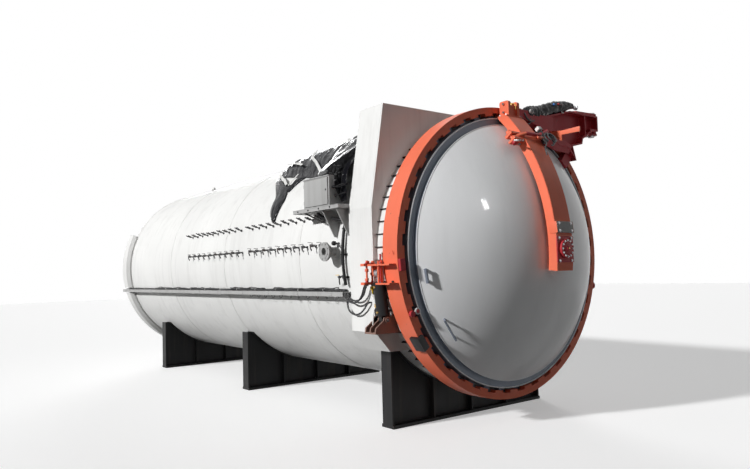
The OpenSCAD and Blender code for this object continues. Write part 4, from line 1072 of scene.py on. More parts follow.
# %% Knobs and collars on the fixed frame
UPRIGHT, UPRIGHT_X, UPRIGHT_Y = (0, 0, 1), 0.372, (-1.978, -1.898)
guide = Shape(ORANGE)
for y in (-1.952, -1.878):
    guide.lathe([(0, 0), (0.026, 0), (0.026, 0.010), (0.021, 0.013), (0.021, 0.026), (0.012, 0.034),
                 (0, 0.035)], facing(high(0.362, y, -0.120), UPRIGHT), 20)
for y, z in ((-1.978, -0.20), (-1.898, -0.244), (-1.978, -0.31)):
    guide.lathe([(0.0125, -0.016), (0.022, -0.016), (0.024, -0.012), (0.024, 0.012), (0.022, 0.016),
                 (0.0125, 0.016)], facing(high(UPRIGHT_X, y, z), UPRIGHT), 20)
guide.use(RED)
for y in UPRIGHT_Y:
    for z in (-0.342, -0.1195):
        guide.bolt(high(UPRIGHT_X, y, z), UPRIGHT, 0.034, 0.014)
guide.use(DARK_STEEL)
for y in UPRIGHT_Y:
    guide.bolt(high(UPRIGHT_X, y, -0.372), (0, 0, -1), 0.030, 0.016)
guide.finish("guide_knobs", slot="orange_paint")

# %% Bleed valve
VALVE_AT = high(0.365, -1.880, -0.3723)


def at_valve(x, y, z):
    return VALVE_AT + Vector((x, y, z))


bleed = Shape(YELLOW)
bleed.box(at_valve(-0.020, -0.038, -0.060), at_valve(0.020, 0.034, -0.020), 0.008)
bleed.box(at_valve(0.012, -0.034, -0.108), at_valve(0.022, -0.004, -0.030), 0.003)
bleed.use(BRASS)
bleed.rod(VALVE_AT, at_valve(0, 0, -0.022), 0.020, sides=6, soften=0.002)
bleed.rod(at_valve(0, 0, -0.058), at_valve(0, 0.004, -0.082), 0.026, sides=6, soften=0.002)
bleed.use(WEBBING)
TAPED = smooth([at_valve(0, 0.004, -0.076), at_valve(0, 0.012, -0.10), at_valve(0, 0.030, -0.16),
                at_valve(0, 0.048, -0.228)], 5)
bleed.tube(TAPED, 0.030, 14)
for k in range(6):
    bleed.lathe([(0.029, -0.008), (0.0325, -0.006), (0.0335, 0.006), (0.029, 0.008)],
                facing(TAPED[2 + 2 * k], (0, -0.25 + 0.02 * k, 1)), 16)
bleed.use(BRASS)


# %% Its cross piece and two thin pipes
def at_cross(x, y, z):
    return at_valve(x, y + 0.050, z - 0.222)


bleed.rod(at_cross(0, 0, 0), at_cross(0, 0.004, -0.030), 0.036, sides=6, soften=0.003)
bleed.rod(at_cross(0, 0, -0.030), at_cross(0, -0.006, -0.062), 0.026, sides=16, soften=0.003)
bleed.rod(at_cross(0, -0.032, -0.044), at_cross(0, 0.040, -0.044), 0.017, sides=6, soften=0.002)
bleed.use(WHITE)
bleed.hose([at_cross(0, y, z) for y, z in ((-0.010, -0.050), (-0.040, -0.072), (-0.056, -0.12),
                                           (-0.066, -0.20), (-0.072, -0.258))], 0.0085, 10)
bleed.hose([at_cross(*p) for p in ((0, 0.030, -0.044), (0.01, 0.040, -0.080), (0.014, 0.060, -0.125),
                                   (0.012, 0.10, -0.160), (0.0, 0.135, -0.175))], 0.007, 10)
bleed.finish("bleed_fittings", slot="brass", replaces="bleed_valve")

# %% Cylinder trim
foot, eye = high(0.48, -1.82998, -0.78976), high(0.48, -1.88998, -0.23876)
axis = (eye - foot).normalized()
port_side = Vector((0, -0.994, -0.108))
ram = Shape(BLACK)
for along in (0.066, 0.440):
    ram.lathe([(0.074, -0.012), (0.079, -0.010), (0.079, 0.010), (0.074, 0.012)],
              facing(foot + axis * along, axis), 40)
ram.use(DARK_STEEL)
for k in range(8):
    side = Matrix.Rotation(math.tau * k / 8, 4, axis) @ Vector((1, 0, 0)) * 0.060
    ram.bolt(foot + axis * 0.4485 + side, axis, 0.016, 0.009, False)
ram.use(BRASS)
for along in (0.10, 0.40):
    base = foot + axis * along + port_side * 0.072
    ram.rod(base, base + port_side * 0.016, 0.014, sides=6, soften=0.001)
ram.finish("cylinder_trim", "drive_barrel", "black_paint")

# %% Pin heads at the foot
foot_trim = Shape(BROWN)
for x, out in ((0.347, -0.008), (0.560, 0.010)):
    foot_trim.rod((x, foot.y, foot.z), (x + out, foot.y, foot.z), 0.036, sides=24, soften=0.002)
foot_trim.use(DARK_STEEL).bolt((0.570, foot.y, foot.z), (1, 0, 0), 0.032, 0.012)
foot_trim.finish("foot_trim", slot="brown_primer")

# %% [markdown]
# ## Blocks on the ring
# The ring carries a knob with a pale rim and a black block across its outer front edge, besides the stop
# blocks of the model.

# %% Ring furniture
KNOB_DEGREES, BLOCK_DEGREES = 22.5, 34
blocks = Shape(WHITE)
knob = facing(around(RING_X1, -KNOB_DEGREES, RING_R - 0.1152), (1, 0, 0), outward(-KNOB_DEGREES))
blocks.lathe([(0, 0.036), (0.030, 0.036), (0.039, 0.030), (0.040, 0.041), (0.034, 0.045), (0, 0.045)],
             knob, 32)
blocks.use(RED).lathe([(0, 0.040), (0.024, 0.040), (0.024, 0.049), (0.019, 0.052), (0, 0.052)], knob, 24)
# A black box across the ring's outer front edge.
block = facing(around(RING_X1 - 0.0425, -BLOCK_DEGREES, RING_R), outward(-BLOCK_DEGREES), (1, 0, 0))
blocks.use(BLACK).box((-0.080, -0.093, -0.055), (0.0800, 0.093, 0.036), 0.004, block)
blocks.finish("ring_furniture", "ring", "red_paint")

# %% [markdown]
# ## Door
# The door is a dished head in silver paint with a flat rim. A clear coat gives the one sharp highlight.
# The rim is a darker, bluer copy of the silver paint, which paints the shade on its flat face, with some
# aluminium flake; it is duller because hands and hoses rub it. The inside of the door and the chamber are
# primed, not painted, so one material tells the two sides apart by their distance from the dome's centre, or
# from the vessel's axis.


# %% Silver paint
def flake_paint(name, colour, flake, rough, coat, dirt=0.06, inside=0.0):
    """Paint with aluminium flakes under a clear coat, with faint spray bands and dust.

    Nearer to the dome's centre than inside, it is bare primer."""
    s = Shader(name)
    bands = s.cloud(1.4, 4, 0.3, 0.7, s.stretched((1, 1, 0.35)))
    paint = s.mix(bands, shade(colour, 0.95), shade(colour, 1.05))
    paint = s.mix(runs(s, dirt, 0.52, 0.80, (6, 6, 0.5)), paint, (0.12, 0.105, 0.09, 1))
    if inside:
        reach = s.add("ShaderNodeVectorMath", {"operation": "DISTANCE"})
        s.put(reach.inputs[0], s.where)
        s.put(reach.inputs[1], (DOME_X, 0, AXIS_Z))
        within = s.maths("LESS_THAN", reach.outputs["Value"], inside)
        paint = s.mix(within, paint, shade(PRIMER_COLOUR))
    s.rough(bands, rough, rough + 0.05)
    orange_peel(s, 500, 0.0002, 0.25)
    return s.done(Base_Color=paint, Metallic=flake, Coat_Weight=coat, Coat_Roughness=0.06)


DOME_PAINT = flake_paint("dome_silver", (0.84, 0.85, 0.86), 0.0, 0.38, 0.28, inside=DOME_R - 0.02)
# The rim's paint is darker and bluer than the dome's: it paints the shade on the rim's flat face and on the
# door handles.
RIM_PAINTED_SHADE = flake_paint("rim_silver", (0.17, 0.195, 0.24), 0.10, 0.50, 0.1, 0.2)
coat("door_head", DOME_PAINT)
edged("door_flange", 0.003, RIM_PAINTED_SHADE)
coat("vessel_flange", INNER)
edged("door_handles", 0.002, RIM_PAINTED_SHADE)
print("door painted, primed within", round(DOME_R - 0.02, 3), "m of the dome's centre")

# %% Lip and weld round the dome
RIM_R, RIM_X = DOME_BASE_R + 0.100, head_low.x - 0.044
lip = Shape(DOME_PAINT)
lip.lathe([(RIM_R - 0.015, 0.0002), (RIM_R - 0.015, 0.009), (RIM_R - 0.012, 0.0115), (RIM_R - 0.003, 0.0115),
           (RIM_R - 0.0005, 0.009), (RIM_R - 0.0005, 0.0002)], facing((RIM_X, 0, AXIS_Z), (1, 0, 0)), 240)
lip.finish("rim_lip", "door", "silver_paint")
grow("dome_weld", BEAD, DOME_PAINT, "door", "silver_paint", Radius=0.006, Step=0.03, Ripple=0.003,
     routes=[arc(head_low.x + 0.001, 0, 360, DOME_BASE_R + 0.001)])

# %% Vessel shell, primed inside
INSIDE_R = SHELL_R - 0.015


def lined(name, outside, inside):
    """One paint outside and primer inside, told apart by the distance from the vessel's axis."""
    s = Shader(name)
    place = s.add("ShaderNodeSeparateXYZ", Vector=s.where).outputs
    up = s.maths("SUBTRACT", place["Z"], AXIS_Z)
    square = s.maths("MULTIPLY_ADD", up, up, s.maths("MULTIPLY", place["Y"], place["Y"]))
    is_out = s.maths("GREATER_THAN", square, INSIDE_R ** 2)
    mottle = patches(s)
    white = s.mix(runs(s, 0.16), s.mix(mottle, shade(outside, 0.95), shade(outside, 1.03)), DUST)
    primer = s.mix(mottle, shade(inside, 0.85), shade(inside, 1.1))
    s.rough(s.cloud(3.0, 4, 0.3, 0.7), 0.42, 0.58)
    orange_peel(s)
    return s.done(Base_Color=s.mix(is_out, primer, white))


SHELL_PAINT = lined("shell_paint", WHITE_COLOUR, PRIMER_COLOUR)
staves = [node for node in frame["nodes"] if node.startswith("shell_stave")]
for node in staves:
    coat(node, SHELL_PAINT)
print(len(staves), "staves, primed within", round(INSIDE_R, 3), "m of the axis")

# %% [markdown]
# ## Beam, boss and clevis
# A curved box beam carries the door from its centre. Its head is held between two lugs, and a clevis at
# its shoulder takes the push rod. Plates are bolted down, so heads and washers show on every one.

# %% Beam sizes
beam_low, beam_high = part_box("door_beam")
BEAM_HALF = (beam_high.y - beam_low.y) / 2
BEAM_R1 = beam_high.x - DOME_X
beam_points = [v.co for v in frame["nodes"]["door_beam"].data.vertices]
BEAM_R0 = min(Vector((p.x - DOME_X, p.z - AXIS_Z)).length for p in beam_points)
print(f"beam {2 * BEAM_HALF:.3f} wide, from radius {BEAM_R0:.3f} to {BEAM_R1:.3f}")


def on_beam(degrees, out=0.0, across=0.0):
    """A placing on the front of the beam: Z away from the dome, X along the beam, upwards."""
    a = math.radians(degrees)
    z = Vector((math.cos(a), 0, math.sin(a)))
    return facing(Vector((DOME_X, across, AXIS_Z)) + z * (BEAM_R1 + out), z, (-math.sin(a), 0, math.cos(a)))


# %% Collar, plate and bolts on the beam
COLLAR_AT, PLATE_AT, BOLT_ROW = 5.8, 0.0, 0.115
collar, face_plate = on_beam(COLLAR_AT), on_beam(PLATE_AT)
beam = Shape(GREY)
beam.box((-0.069, -BEAM_HALF - 0.002, -0.004), (0.069, BEAM_HALF + 0.002, 0.030), 0.004, collar)
beam.use(ORANGE)
beam.box((-0.069, -BEAM_HALF - 0.008, -0.085), (0.069, -BEAM_HALF - 0.0006, 0.028), 0.003, collar)
beam.box((-0.069, BEAM_HALF + 0.0006, -0.085), (0.069, BEAM_HALF + 0.008, 0.028), 0.003, collar)
beam.use(RED)
beam.box((-0.165, -BEAM_HALF - 0.003, -0.010), (0.150, BEAM_HALF + 0.003, 0.006), 0.003, face_plate)
beam.use(STEEL)
for across in (-BOLT_ROW, BOLT_ROW):
    for degrees, out, places in ((PLATE_AT, 0.006, (-0.145, 0.130)), (COLLAR_AT, 0.030, (-0.045, 0.045))):
        place = on_beam(degrees, out, across)
        for along in places:
            beam.bolt(place @ Vector((along, 0, 0)), place.to_3x3() @ Vector((0, 0, 1)), 0.024, 0.012)
beam.finish("beam_details", "door", "orange_paint")
grow("beam_welds", BEAD, ORANGE, "door", "orange_paint", Radius=0.004, Step=0.03, Ripple=0.002,
     routes=[[on_beam(d, -0.006, side * (BEAM_HALF + 0.0005)).translation for d in range(8, 44, 2)]
             for side in (-1, 1)])

# %% Boss cap and its bolts
boss_face = facing((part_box("door_boss")[1].x, 0, AXIS_Z), (1, 0, 0))
cap = Shape(RED)
cap.lathe([(0, 0.0), (0.078, 0.0), (0.078, 0.004), (0.072, 0.007), (0.034, 0.008), (0.030, 0.017),
           (0.018, 0.021), (0, 0.021)], boss_face, 40)
cap.use(BRASS).rod(boss_face @ Vector((0, 0, 0.020)), boss_face @ Vector((0, 0, 0.030)), 0.007, 0.004, 10)
cap.finish("boss_cap", "door", "red_paint")
boss_bolt = Shape(STEEL)
boss_bolt.rod((0, 0, -0.003), (0, 0, 0.003), 0.013, sides=16)
boss_bolt.rod((0, 0, 0), (0, 0, 0.013), 0.0095, sides=6, soften=0.001)
grow("boss_bolts", CIRCLE, STEEL, "door", "bare_steel", place=boss_face, Tool=pattern(boss_bolt, "boss_bolt"),
     Count=12, Radius=0.098, Seed=6)

# %% Lugs
lug_low, lug_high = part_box("beam_lugs")
LUG_X, LUG_TOP = (lug_low.x + lug_high.x - 0.005) / 2, 1.919
GREASER_X, GREASER_Y = 0.965, 0.030
lugs = Shape(DARK_STEEL)
for y, side in ((-0.1225, -1), (0.108, 1)):
    for z in (1.927, 1.817):
        lugs.rod(high(LUG_X, y, z), high(LUG_X, y + side * 0.006, z), 0.014, sides=16)
lugs.use(STEEL)
for x in (lug_low.x + 0.03, lug_high.x - 0.03):
    for y in (-0.130, 0.130):
        lugs.bolt(high(x, y, 1.7703), (0, 0, 1), 0.026, 0.014)
lugs.use(BRASS)
lugs.rod(high(GREASER_X, GREASER_Y, LUG_TOP), high(GREASER_X, GREASER_Y, 1.950), 0.018, sides=6, soften=0.002)
lugs.ball(high(GREASER_X, GREASER_Y, 1.952), 0.014)
lugs.rod(high(0.975, -0.028, LUG_TOP), high(0.975, -0.028, 1.940), 0.013, sides=6, soften=0.002)
lugs.hose([high(GREASER_X, GREASER_Y, 1.940), high(0.995, 0.042, 1.948), high(1.015, 0.052, 1.925),
           high(1.018, 0.055, 1.870)], 0.008, 8)
lugs.finish("lug_fittings", "door", "orange_paint")
grow("head_welds", BEAD, ORANGE, "door", "orange_paint", Radius=0.005, Step=0.03, Ripple=0.002,
     routes=[[high(lug_low.x + 0.156 * k / 6, y, 1.7705) for k in range(7)] for y in (-0.1085, 0.1085)])

# %% Clevis
CLEVIS_AT, CLEVIS_Y = 34.4, -0.302
a = math.radians(CLEVIS_AT)
clevis_up, clevis_out = Vector((-math.sin(a), 0, math.cos(a))), Vector((math.cos(a), 0, math.sin(a)))
clevis_at = Vector((DOME_X, 0, AXIS_Z)) + clevis_out * ((BEAM_R0 + BEAM_R1) / 2)


def in_clevis(out, y, up):
    """A point near the clevis, from the middle of its plates."""
    return clevis_at + clevis_out * out + Vector((0, y, 0)) + clevis_up * up


clevis = Shape(ORANGE)
clevis.box((-0.055, -0.342, 0.0605), (0.055, -0.262, 0.072), 0.003, facing(clevis_at, clevis_up, clevis_out))
clevis.rod(in_clevis(0, CLEVIS_Y, 0.060), in_clevis(0, CLEVIS_Y, 0.112), 0.034, soften=0.004, sides=24)
clevis.use(RED)
clevis.rod(in_clevis(0, CLEVIS_Y, -0.062), in_clevis(0, CLEVIS_Y, -0.098), 0.038, soften=0.004, sides=24)
clevis.use(STEEL)
for y in (-0.235, -0.180):
    for out in (-0.03, 0.035):
        for side in (1, -1):
            clevis.bolt(in_clevis(out, y, side * 0.060), clevis_up * side, 0.028, 0.016)
clevis.use(WHITE)
clevis.rod(in_clevis(0.03, -0.335, -0.075), in_clevis(0.10, -0.392, -0.150), 0.012, sides=12)
clevis.finish("clevis_fittings", "door", "orange_paint")

# %% Push rod and its hoses
BEAM_FRONT = (BEAM_R1 - BEAM_R0) / 2


def before_beam(out, y, up):
    """A point in front of the beam, beside the clevis."""
    return in_clevis(BEAM_FRONT + out, y, up)


rod = Shape(ORANGE)
for paint, start, end, radius, rounding, sides in (
        (ORANGE, in_clevis(0.010, CLEVIS_Y, 0.0), before_beam(0.040, -0.130, 0.004), 0.022, 0.003, 20),
        (RED, before_beam(0.040, -0.135, 0.004), before_beam(0.040, 0.150, 0.012), 0.024, 0.003, 20),
        (ORANGE, before_beam(0.046, 0.040, -0.052), before_beam(0.046, 0.165, -0.048), 0.018, 0.003, 16),
        (RED, before_beam(0.044, 0.145, 0.012), before_beam(0.060, 0.330, 0.090), 0.024, 0.003, 20),
        (BLACK, before_beam(0.030, 0.175, -0.110), before_beam(0.040, 0.185, 0.070), 0.036, 0.006, 20)):
    rod.use(paint).rod(start, end, radius, soften=rounding, sides=sides)
rod.use(WHITE).box((-0.036, -0.030, 0), (0.036, 0.030, 0.050), 0.006,
                   facing(before_beam(0.050, 0.190, 0.090), clevis_up, (0, 1, 0)))
rod.use(RUBBER)
turns = [math.tau * j / 20 * 0.86 for j in range(21)]
for k, (size, drop) in enumerate(((0.105, 0.0), (0.085, 0.028), (0.070, 0.050))):
    rod.hose([before_beam(0.050 + 0.020 * k, 0.235 + drop + size * math.sin(t), -0.060 - size * math.cos(t))
              for t in turns], 0.010, 10, 2)
rod.hose([before_beam(0.045, 0.180, -0.100), before_beam(0.060, 0.120, -0.170),
          before_beam(0.045, 0.060, -0.235), before_beam(0.020, 0.050, -0.330)], 0.009, 8)
rod.finish("push_rod", "door", "orange_paint")

# %% Orange plate that paints sunlight on the front of the jib, and the strut below it
X_ACROSS = Matrix.Rotation(math.pi / 2, 4, "X")
YZ_ACROSS = Matrix(((0, 0, 1, 0), (1, 0, 0, 0), (0, 1, 0, 0), (0, 0, 0, 1)))
# A thin orange plate on the jib's front: its orange against the red jib paints a patch of sunlight there.
painted_sunlight_plate = Shape(ORANGE)
painted_sunlight_plate.plate([(1.012, 1.600), (1.190, 1.490), (1.190, 1.575), (1.480, 1.570), (1.480, 1.640), (1.190, 1.634),
           (1.012, 1.655)], 0.020, Matrix.Translation((0, 0.800, AXIS_Z)) @ X_ACROSS, 0.003)
painted_sunlight_plate.finish("jib_plate", "door", "orange_paint")
strut = Shape(RED)
strut.plate([(0.534, 1.567), (0.806, 1.600), (1.117, 1.560), (1.268, 1.500), (1.188, 1.382), (0.890, 1.397),
             (0.620, 1.463)], 0.016, Matrix.Translation((0.990, 0, AXIS_Z)) @ YZ_ACROSS, 0.003)
strut.finish("jib_strut", "door", "red_paint")

# %% [markdown]
# ## Black sheeting
# Plastic film covers the pipework on the shoulder and the door cylinder on the jib. It hangs from what is
# under it, so its shape is a set of cross sections: low on the shell at the rear, tall beside the casing.
# One continuous grid is laid over those sections, then pushed in by folds that run down the slope and by
# smaller crumples. A thin wall makes it a real sheet. A simulation would need the hidden pipes as well.


# %% A thin sheet of film
def close_sheet(part, name, body):
    """Gives the sheet its thickness and puts it in the scene."""
    part.normal_update()
    area = sum(f.calc_area() for f in part.faces)
    for face in part.faces:
        face.smooth = True
    data = bpy.data.meshes.new(name)
    part.to_mesh(data)
    part.free()
    piece = link(name, data, body, FILM)
    wall = piece.modifiers.new("wall", "SOLIDIFY")
    wall.thickness, wall.offset = 0.004, -1
    print(name, len(data.polygons), "faces,", round(area, 2), "m2")
    return piece


def join_rows(part, rows):
    """Faces of a grid, between each row of vertices and the next."""
    for low, top in zip(rows, rows[1:]):
        for k in range(len(low) - 1):
            part.faces.new((low[k], low[k + 1], top[k + 1], top[k]))


# %% Sheets over a set of sections
def section_at(stations, x):
    """The cross section at x, blended between the stations on both sides."""
    for (x0, low), (x1, top) in zip(stations, stations[1:]):
        if x <= x1:
            t = max(0.0, (x - x0) / (x1 - x0))
            return [a.lerp(b, t) for a, b in zip(low, top)]
    return stations[-1][1]


def evenly(line, count):
    """That many points along the line, the same distance apart."""
    total = [0.0]
    for a, b in zip(line, line[1:]):
        total.append(total[-1] + (b - a).length)
    row = []
    for k in range(count):
        want, i = total[-1] * k / (count - 1), 0
        while i < len(total) - 2 and total[i + 1] < want:
            i += 1
        share = (want - total[i]) / max(total[i + 1] - total[i], 1e-6)
        row.append(line[i].lerp(line[i + 1], share))
    return row


def film(name, xs, stations, rows, fold):
    """A sheet over sections given as points across it. fold(x, v, point) is how far it sinks there."""
    part = bmesh.new()
    grid = []
    for x in xs:
        row = []
        for k, p in enumerate(evenly(smooth(section_at(stations, x), 6), rows)):
            out = (p - Vector((p.x, 0, AXIS_Z))).normalized()
            row.append(part.verts.new(p - out * fold(p.x, k / (rows - 1), p)))
        grid.append(row)
    join_rows(part, grid)
    return close_sheet(part, name, "vessel")


def over(x, degrees, height):
    """A point on the shoulder, at a height above the shell."""
    return around(x, degrees, SHELL_R + height)


# %% Sections of the film on the shoulder
# Up to the casing each section is a row of angles and heights above the shell, then of Y and height.
ON_SHELL = {
    -3.38: ((56, 0.008), (57, 0.03), (58, 0.05), (59, 0.06), (60, 0.06), (62, 0.05), (65, 0.03), (66, 0.008)),
    -3.00: ((52, 0.008), (52.5, 0.04), (55, 0.11), (57, 0.145), (60, 0.16), (64, 0.14), (69, 0.05),
            (70, 0.008)),
    -2.45: ((48, 0.008), (48.5, 0.03), (52, 0.13), (56, 0.185), (61, 0.205), (66, 0.18), (71, 0.06),
            (72, 0.008)),
    -1.65: ((42.5, 0.008), (43, 0.05), (50, 0.16), (56, 0.210), (61, 0.225), (66, 0.19), (71, 0.06),
            (72, 0.008)),
    -1.30: ((41, 0.008), (41.5, 0.06), (49, 0.17), (56, 0.220), (61, 0.235), (66, 0.195), (71, 0.06),
            (72, 0.008)),
}
BY_CASING = {
    -1.02: ((-1.70, 1.085), (-1.69, 1.16), (-1.50, 1.40)),
    -0.80: ((-1.86, 1.070), (-1.85, 1.17), (-1.57, 1.41)),
    -0.395: ((-1.990, 1.062), (-1.980, 1.17), (-1.68, 1.37)),
    -0.350: ((-1.815, 0.70), (-1.82, 1.06), (-1.62, 1.34)),
    -0.160: ((-1.860, 0.70), (-1.87, 1.06), (-1.64, 1.34)),
}
RIDGE = ((-1.29, 1.635), (-1.04, 1.79), (-0.77, 1.895), (-0.49, 1.80), (-0.455, 1.735))
SHOULDER = [(x, [over(x, d, h) for d, h in form]) for x, form in ON_SHELL.items()]
SHOULDER += [(x, [high(x, y, z) for y, z in edge + RIDGE]) for x, edge in BY_CASING.items()]
print(len(SHOULDER), "sections from x", SHOULDER[0][0], "to", SHOULDER[-1][0])


# %% Film on the shoulder
def shoulder_fold(x, v, p):
    """Folds run down the slope, deeper in the middle, and small crumples cross them."""
    run = noise.noise(Vector((x * 7.0, v * 1.5, 3.0)))
    crumple = noise.fractal(p * 6.0, 1.0, 2.2, 3)
    sag = noise.noise(Vector((x * 1.7, v * 2.5, 8.0)))
    edge = min(1.0, v * 8, (1 - v) * 8)
    return edge * (0.016 + 0.030 * abs(run) + 0.012 * crumple + 0.016 * sag)


columns = [-3.38 + 2.98 * k / 130 for k in range(131)]
columns += [-0.395 + 0.045 * k / 10 for k in range(1, 11)]
columns += [-0.350 + 0.190 * k / 16 for k in range(1, 17)]
shoulder = film("shoulder_film", columns, SHOULDER, 72, shoulder_fold)
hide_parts("shoulder_wrap")


# %% Its loose tail
def ribbon(name, left, right, across, lift, seed):
    """A loose strip between two edges on the shell, given as pairs of x and angle."""
    a, b = (smooth([(x, d, 0) for x, d in edge], 8) for edge in (left, right))
    part = bmesh.new()
    rows = []
    for i, (p, q) in enumerate(zip(a, b)):
        row = []
        for k in range(across + 1):
            v = k / across
            x, d = p.lerp(q, v)[:2]
            fold = (noise.noise(Vector((v * 4.0, i * 0.06, seed))) * 0.6
                    + noise.noise(Vector((v * 9.0, i * 0.2, seed))) * 0.3)
            row.append(part.verts.new(over(x, d, 0.010 + lift * math.sin(math.pi * v) * (0.7 + fold))))
        rows.append(row)
    join_rows(part, rows)
    return close_sheet(part, name, "vessel")


tail = ribbon("film_tail", [(-3.38, 56), (-3.25, 50.5), (-2.98, 43), (-2.71, 35.3), (-2.67, 30.8),
                            (-2.61, 25.3), (-2.43, 19.2)],
              [(-3.14, 53.5), (-2.84, 48.0), (-2.50, 41.5), (-2.38, 36.3), (-2.32, 31.8), (-2.34, 27.2),
               (-2.36, 19.8)], 14, 0.034, 2.0)
leg = ribbon("film_tail_leg", [(-2.44, 48.5), (-2.45, 45), (-2.46, 42.2), (-2.50, 39)],
             [(-2.08, 46.5), (-2.20, 44), (-2.30, 39.5), (-2.34, 36.5)], 8, 0.035, 5.0)

# %% White straps that hold it
straps = Shape(WEBBING)


def strap(places, width=0.045, thick=0.004):
    """A flat strap along places on the shoulder, its face turned away from the vessel's axis."""
    route = smooth([over(*p) for p in places], 6)
    part = bmesh.new()
    rings = []
    for i, p in enumerate(route):
        ahead = (route[min(i + 1, len(route) - 1)] - route[max(i - 1, 0)]).normalized()
        out = Vector((0, p.y, p.z - AXIS_Z)).normalized()
        side = ahead.cross(out).normalized() * width / 2
        rings.append([part.verts.new(p + s * side + h * out * thick)
                      for s, h in ((-1, 0), (1, 0), (1, 1), (-1, 1))])
    join_rings(part, rings)
    straps.add(part)


strap([(-2.28, 62, 0.215), (-2.10, 55, 0.192), (-1.80, 49.5, 0.158), (-1.58, 44.5, 0.085),
       (-1.52, 42, 0.045)])
strap([(-3.05, 57.5, 0.150), (-2.85, 56.5, 0.160), (-2.55, 54.0, 0.170), (-2.30, 51.5, 0.155)])
strap([(-3.16, 52.5, 0.075), (-2.95, 49.0, 0.070), (-2.72, 45.5, 0.062), (-2.52, 41.5, 0.050)])
strap([(-2.34, 47.5, 0.075), (-2.38, 44.0, 0.060), (-2.42, 40.5, 0.050)])
strap([(-1.19, 58.5, 0.275), (-0.80, 51.0, 0.262), (-0.48, 45.5, 0.245)], 0.040)
straps.ball(over(-1.55, 42.8, 0.070), 0.034, (1.2, 0.8, 1.0))
straps.use(FILM)
strap([(-1.52, 42, 0.050), (-1.50, 40.0, 0.030), (-1.47, 38.5, 0.012)], 0.060)
webbing = straps.finish("film_straps", "vessel", "black_sheeting")

# %% The film's pieces
# The tail and its leg taper.
print("made the film on the shoulder, its tail and its leg")

# %% Film on the door cylinder
# Each entry is a place along the jib, and the heights of the film's lower and upper side there.
SLEEVE = [(0.285, 1.862, 1.902), (0.330, 1.815, 1.945), (0.405, 1.790, 1.972), (0.511, 1.796, 1.990),
          (0.618, 1.812, 2.008), (0.784, 1.858, 2.062), (0.978, 1.924, 2.118), (1.164, 1.980, 2.144),
          (1.300, 2.040, 2.140), (1.400, 2.062, 2.112)]
SLEEVE_X, SLEEVE_HALF, SLEEVE_STEPS = 0.9475, 0.082, 40


def sleeve_ring(part, i, last, low, top):
    """One ring of the sleeve, gathered near its ends and crumpled."""
    middle, half = (low + top) / 2, (top - low).length / 2
    wide = SLEEVE_HALF * min(1.0, 0.30 + 5 * i / last, 0.30 + 6 * (1 - i / last))
    ring = []
    for k in range(SLEEVE_STEPS):
        turn = math.tau * k / SLEEVE_STEPS
        c, s = math.cos(turn), math.sin(turn)
        crumple = (noise.noise(Vector((c * 1.8, s * 1.8 + 4.0, i * 0.16)))
                   + 0.5 * noise.noise(Vector((c * 4, s * 4, i * 0.45))))
        shrink = 1.06 - 0.22 * abs(crumple) - 0.07 * (0.5 + 0.5 * math.sin(i * 1.3 + 2 * c))
        ring.append(part.verts.new(middle + shrink * Vector((wide * c, 0, half * s))))
    return ring


lows = smooth([high(SLEEVE_X, y, low) for y, low, _ in SLEEVE], 8)
tops = smooth([high(SLEEVE_X, y, top) for y, _, top in SLEEVE], 8)
part = bmesh.new()
rings = [sleeve_ring(part, i, len(lows) - 1, *pair) for i, pair in enumerate(zip(lows, tops))]
join_rings(part, rings, caps=False)
bmesh.ops.recalc_face_normals(part, faces=part.faces)
sleeve = close_sheet(part, "cylinder_film", "door")
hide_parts("jib_wrap")

# %% Fittings of the door cylinder
ROD_END, GLAND = high(SLEEVE_X, 0.20, 1.880), high(SLEEVE_X, 0.33, 1.880)
HEAD, HEAD_END = high(SLEEVE_X, 1.36, 2.092), high(SLEEVE_X, 1.455, 2.090)
FRONT_X = SLEEVE_X + SLEEVE_HALF - 0.012
fittings = Shape(STEEL)
fittings.rod(ROD_END, GLAND, 0.026, sides=20).rod(HEAD, HEAD_END, 0.024, sides=20)
fittings.rod(HEAD_END, HEAD_END + Vector((0, 0.03, 0)), 0.036, soften=0.004, sides=20)
fittings.rod(ROD_END - Vector((0, 0.02, 0)), ROD_END + Vector((0, 0.03, 0)), 0.040, soften=0.004, sides=20)
fittings.use(GREY)
fittings.lathe([(0, 0), (0.036, 0), (0.036, 0.018), (0.028, 0.022), (0.012, 0.024), (0, 0.024)],
               facing(high(FRONT_X, 0.372, 1.880), (1, 0, 0)), 24)
BLUE = enamel("blue_cap", (0.05, 0.16, 0.42), gloss=0.35, dirt=0.1)
for paint, y, z, out, radius in ((BLUE, 0.875, 2.045, 0.020, 0.020), (RED, 0.975, 2.060, 0.018, 0.018),
                                 (RED, 1.035, 2.050, 0.014, 0.014)):
    fittings.use(paint).rod(high(FRONT_X - 0.006, y, z), high(FRONT_X + out, y, z), radius, soften=0.003)
fittings.use(WEBBING)
for y, z in ((1.06, 1.955), (0.64, 1.875), (0.72, 1.895), (0.50, 1.885)):
    fittings.box(high(FRONT_X - 0.002, y - 0.022, z - 0.012), high(FRONT_X + 0.004, y + 0.022, z + 0.012),
                 0.001)
fittings.use(RUBBER)
fittings.hose([high(0.955, 0.235, 1.875), high(0.985, 0.200, 1.835), high(1.005, 0.190, 1.775),
               high(1.010, 0.230, 1.720), high(1.008, 0.300, 1.700), high(1.005, 0.360, 1.730),
               high(1.005, 0.372, 1.790)], 0.011, 10)
fittings.hose([high(0.960, 0.250, 1.890), high(1.010, 0.245, 1.840), high(1.028, 0.280, 1.770),
               high(1.026, 0.350, 1.745), high(1.022, 0.430, 1.760)], 0.009, 10)
cylinder_fittings = fittings.finish("cylinder_fittings", "door", "black_rubber")

# %% [markdown]
# ## Floor and light
# A pale floor, a soft sun from the side of the pipework, a weak fill, a wide one from behind for the far
# side, and one small soft lamp in front of the door, which makes the highlight on the dome.


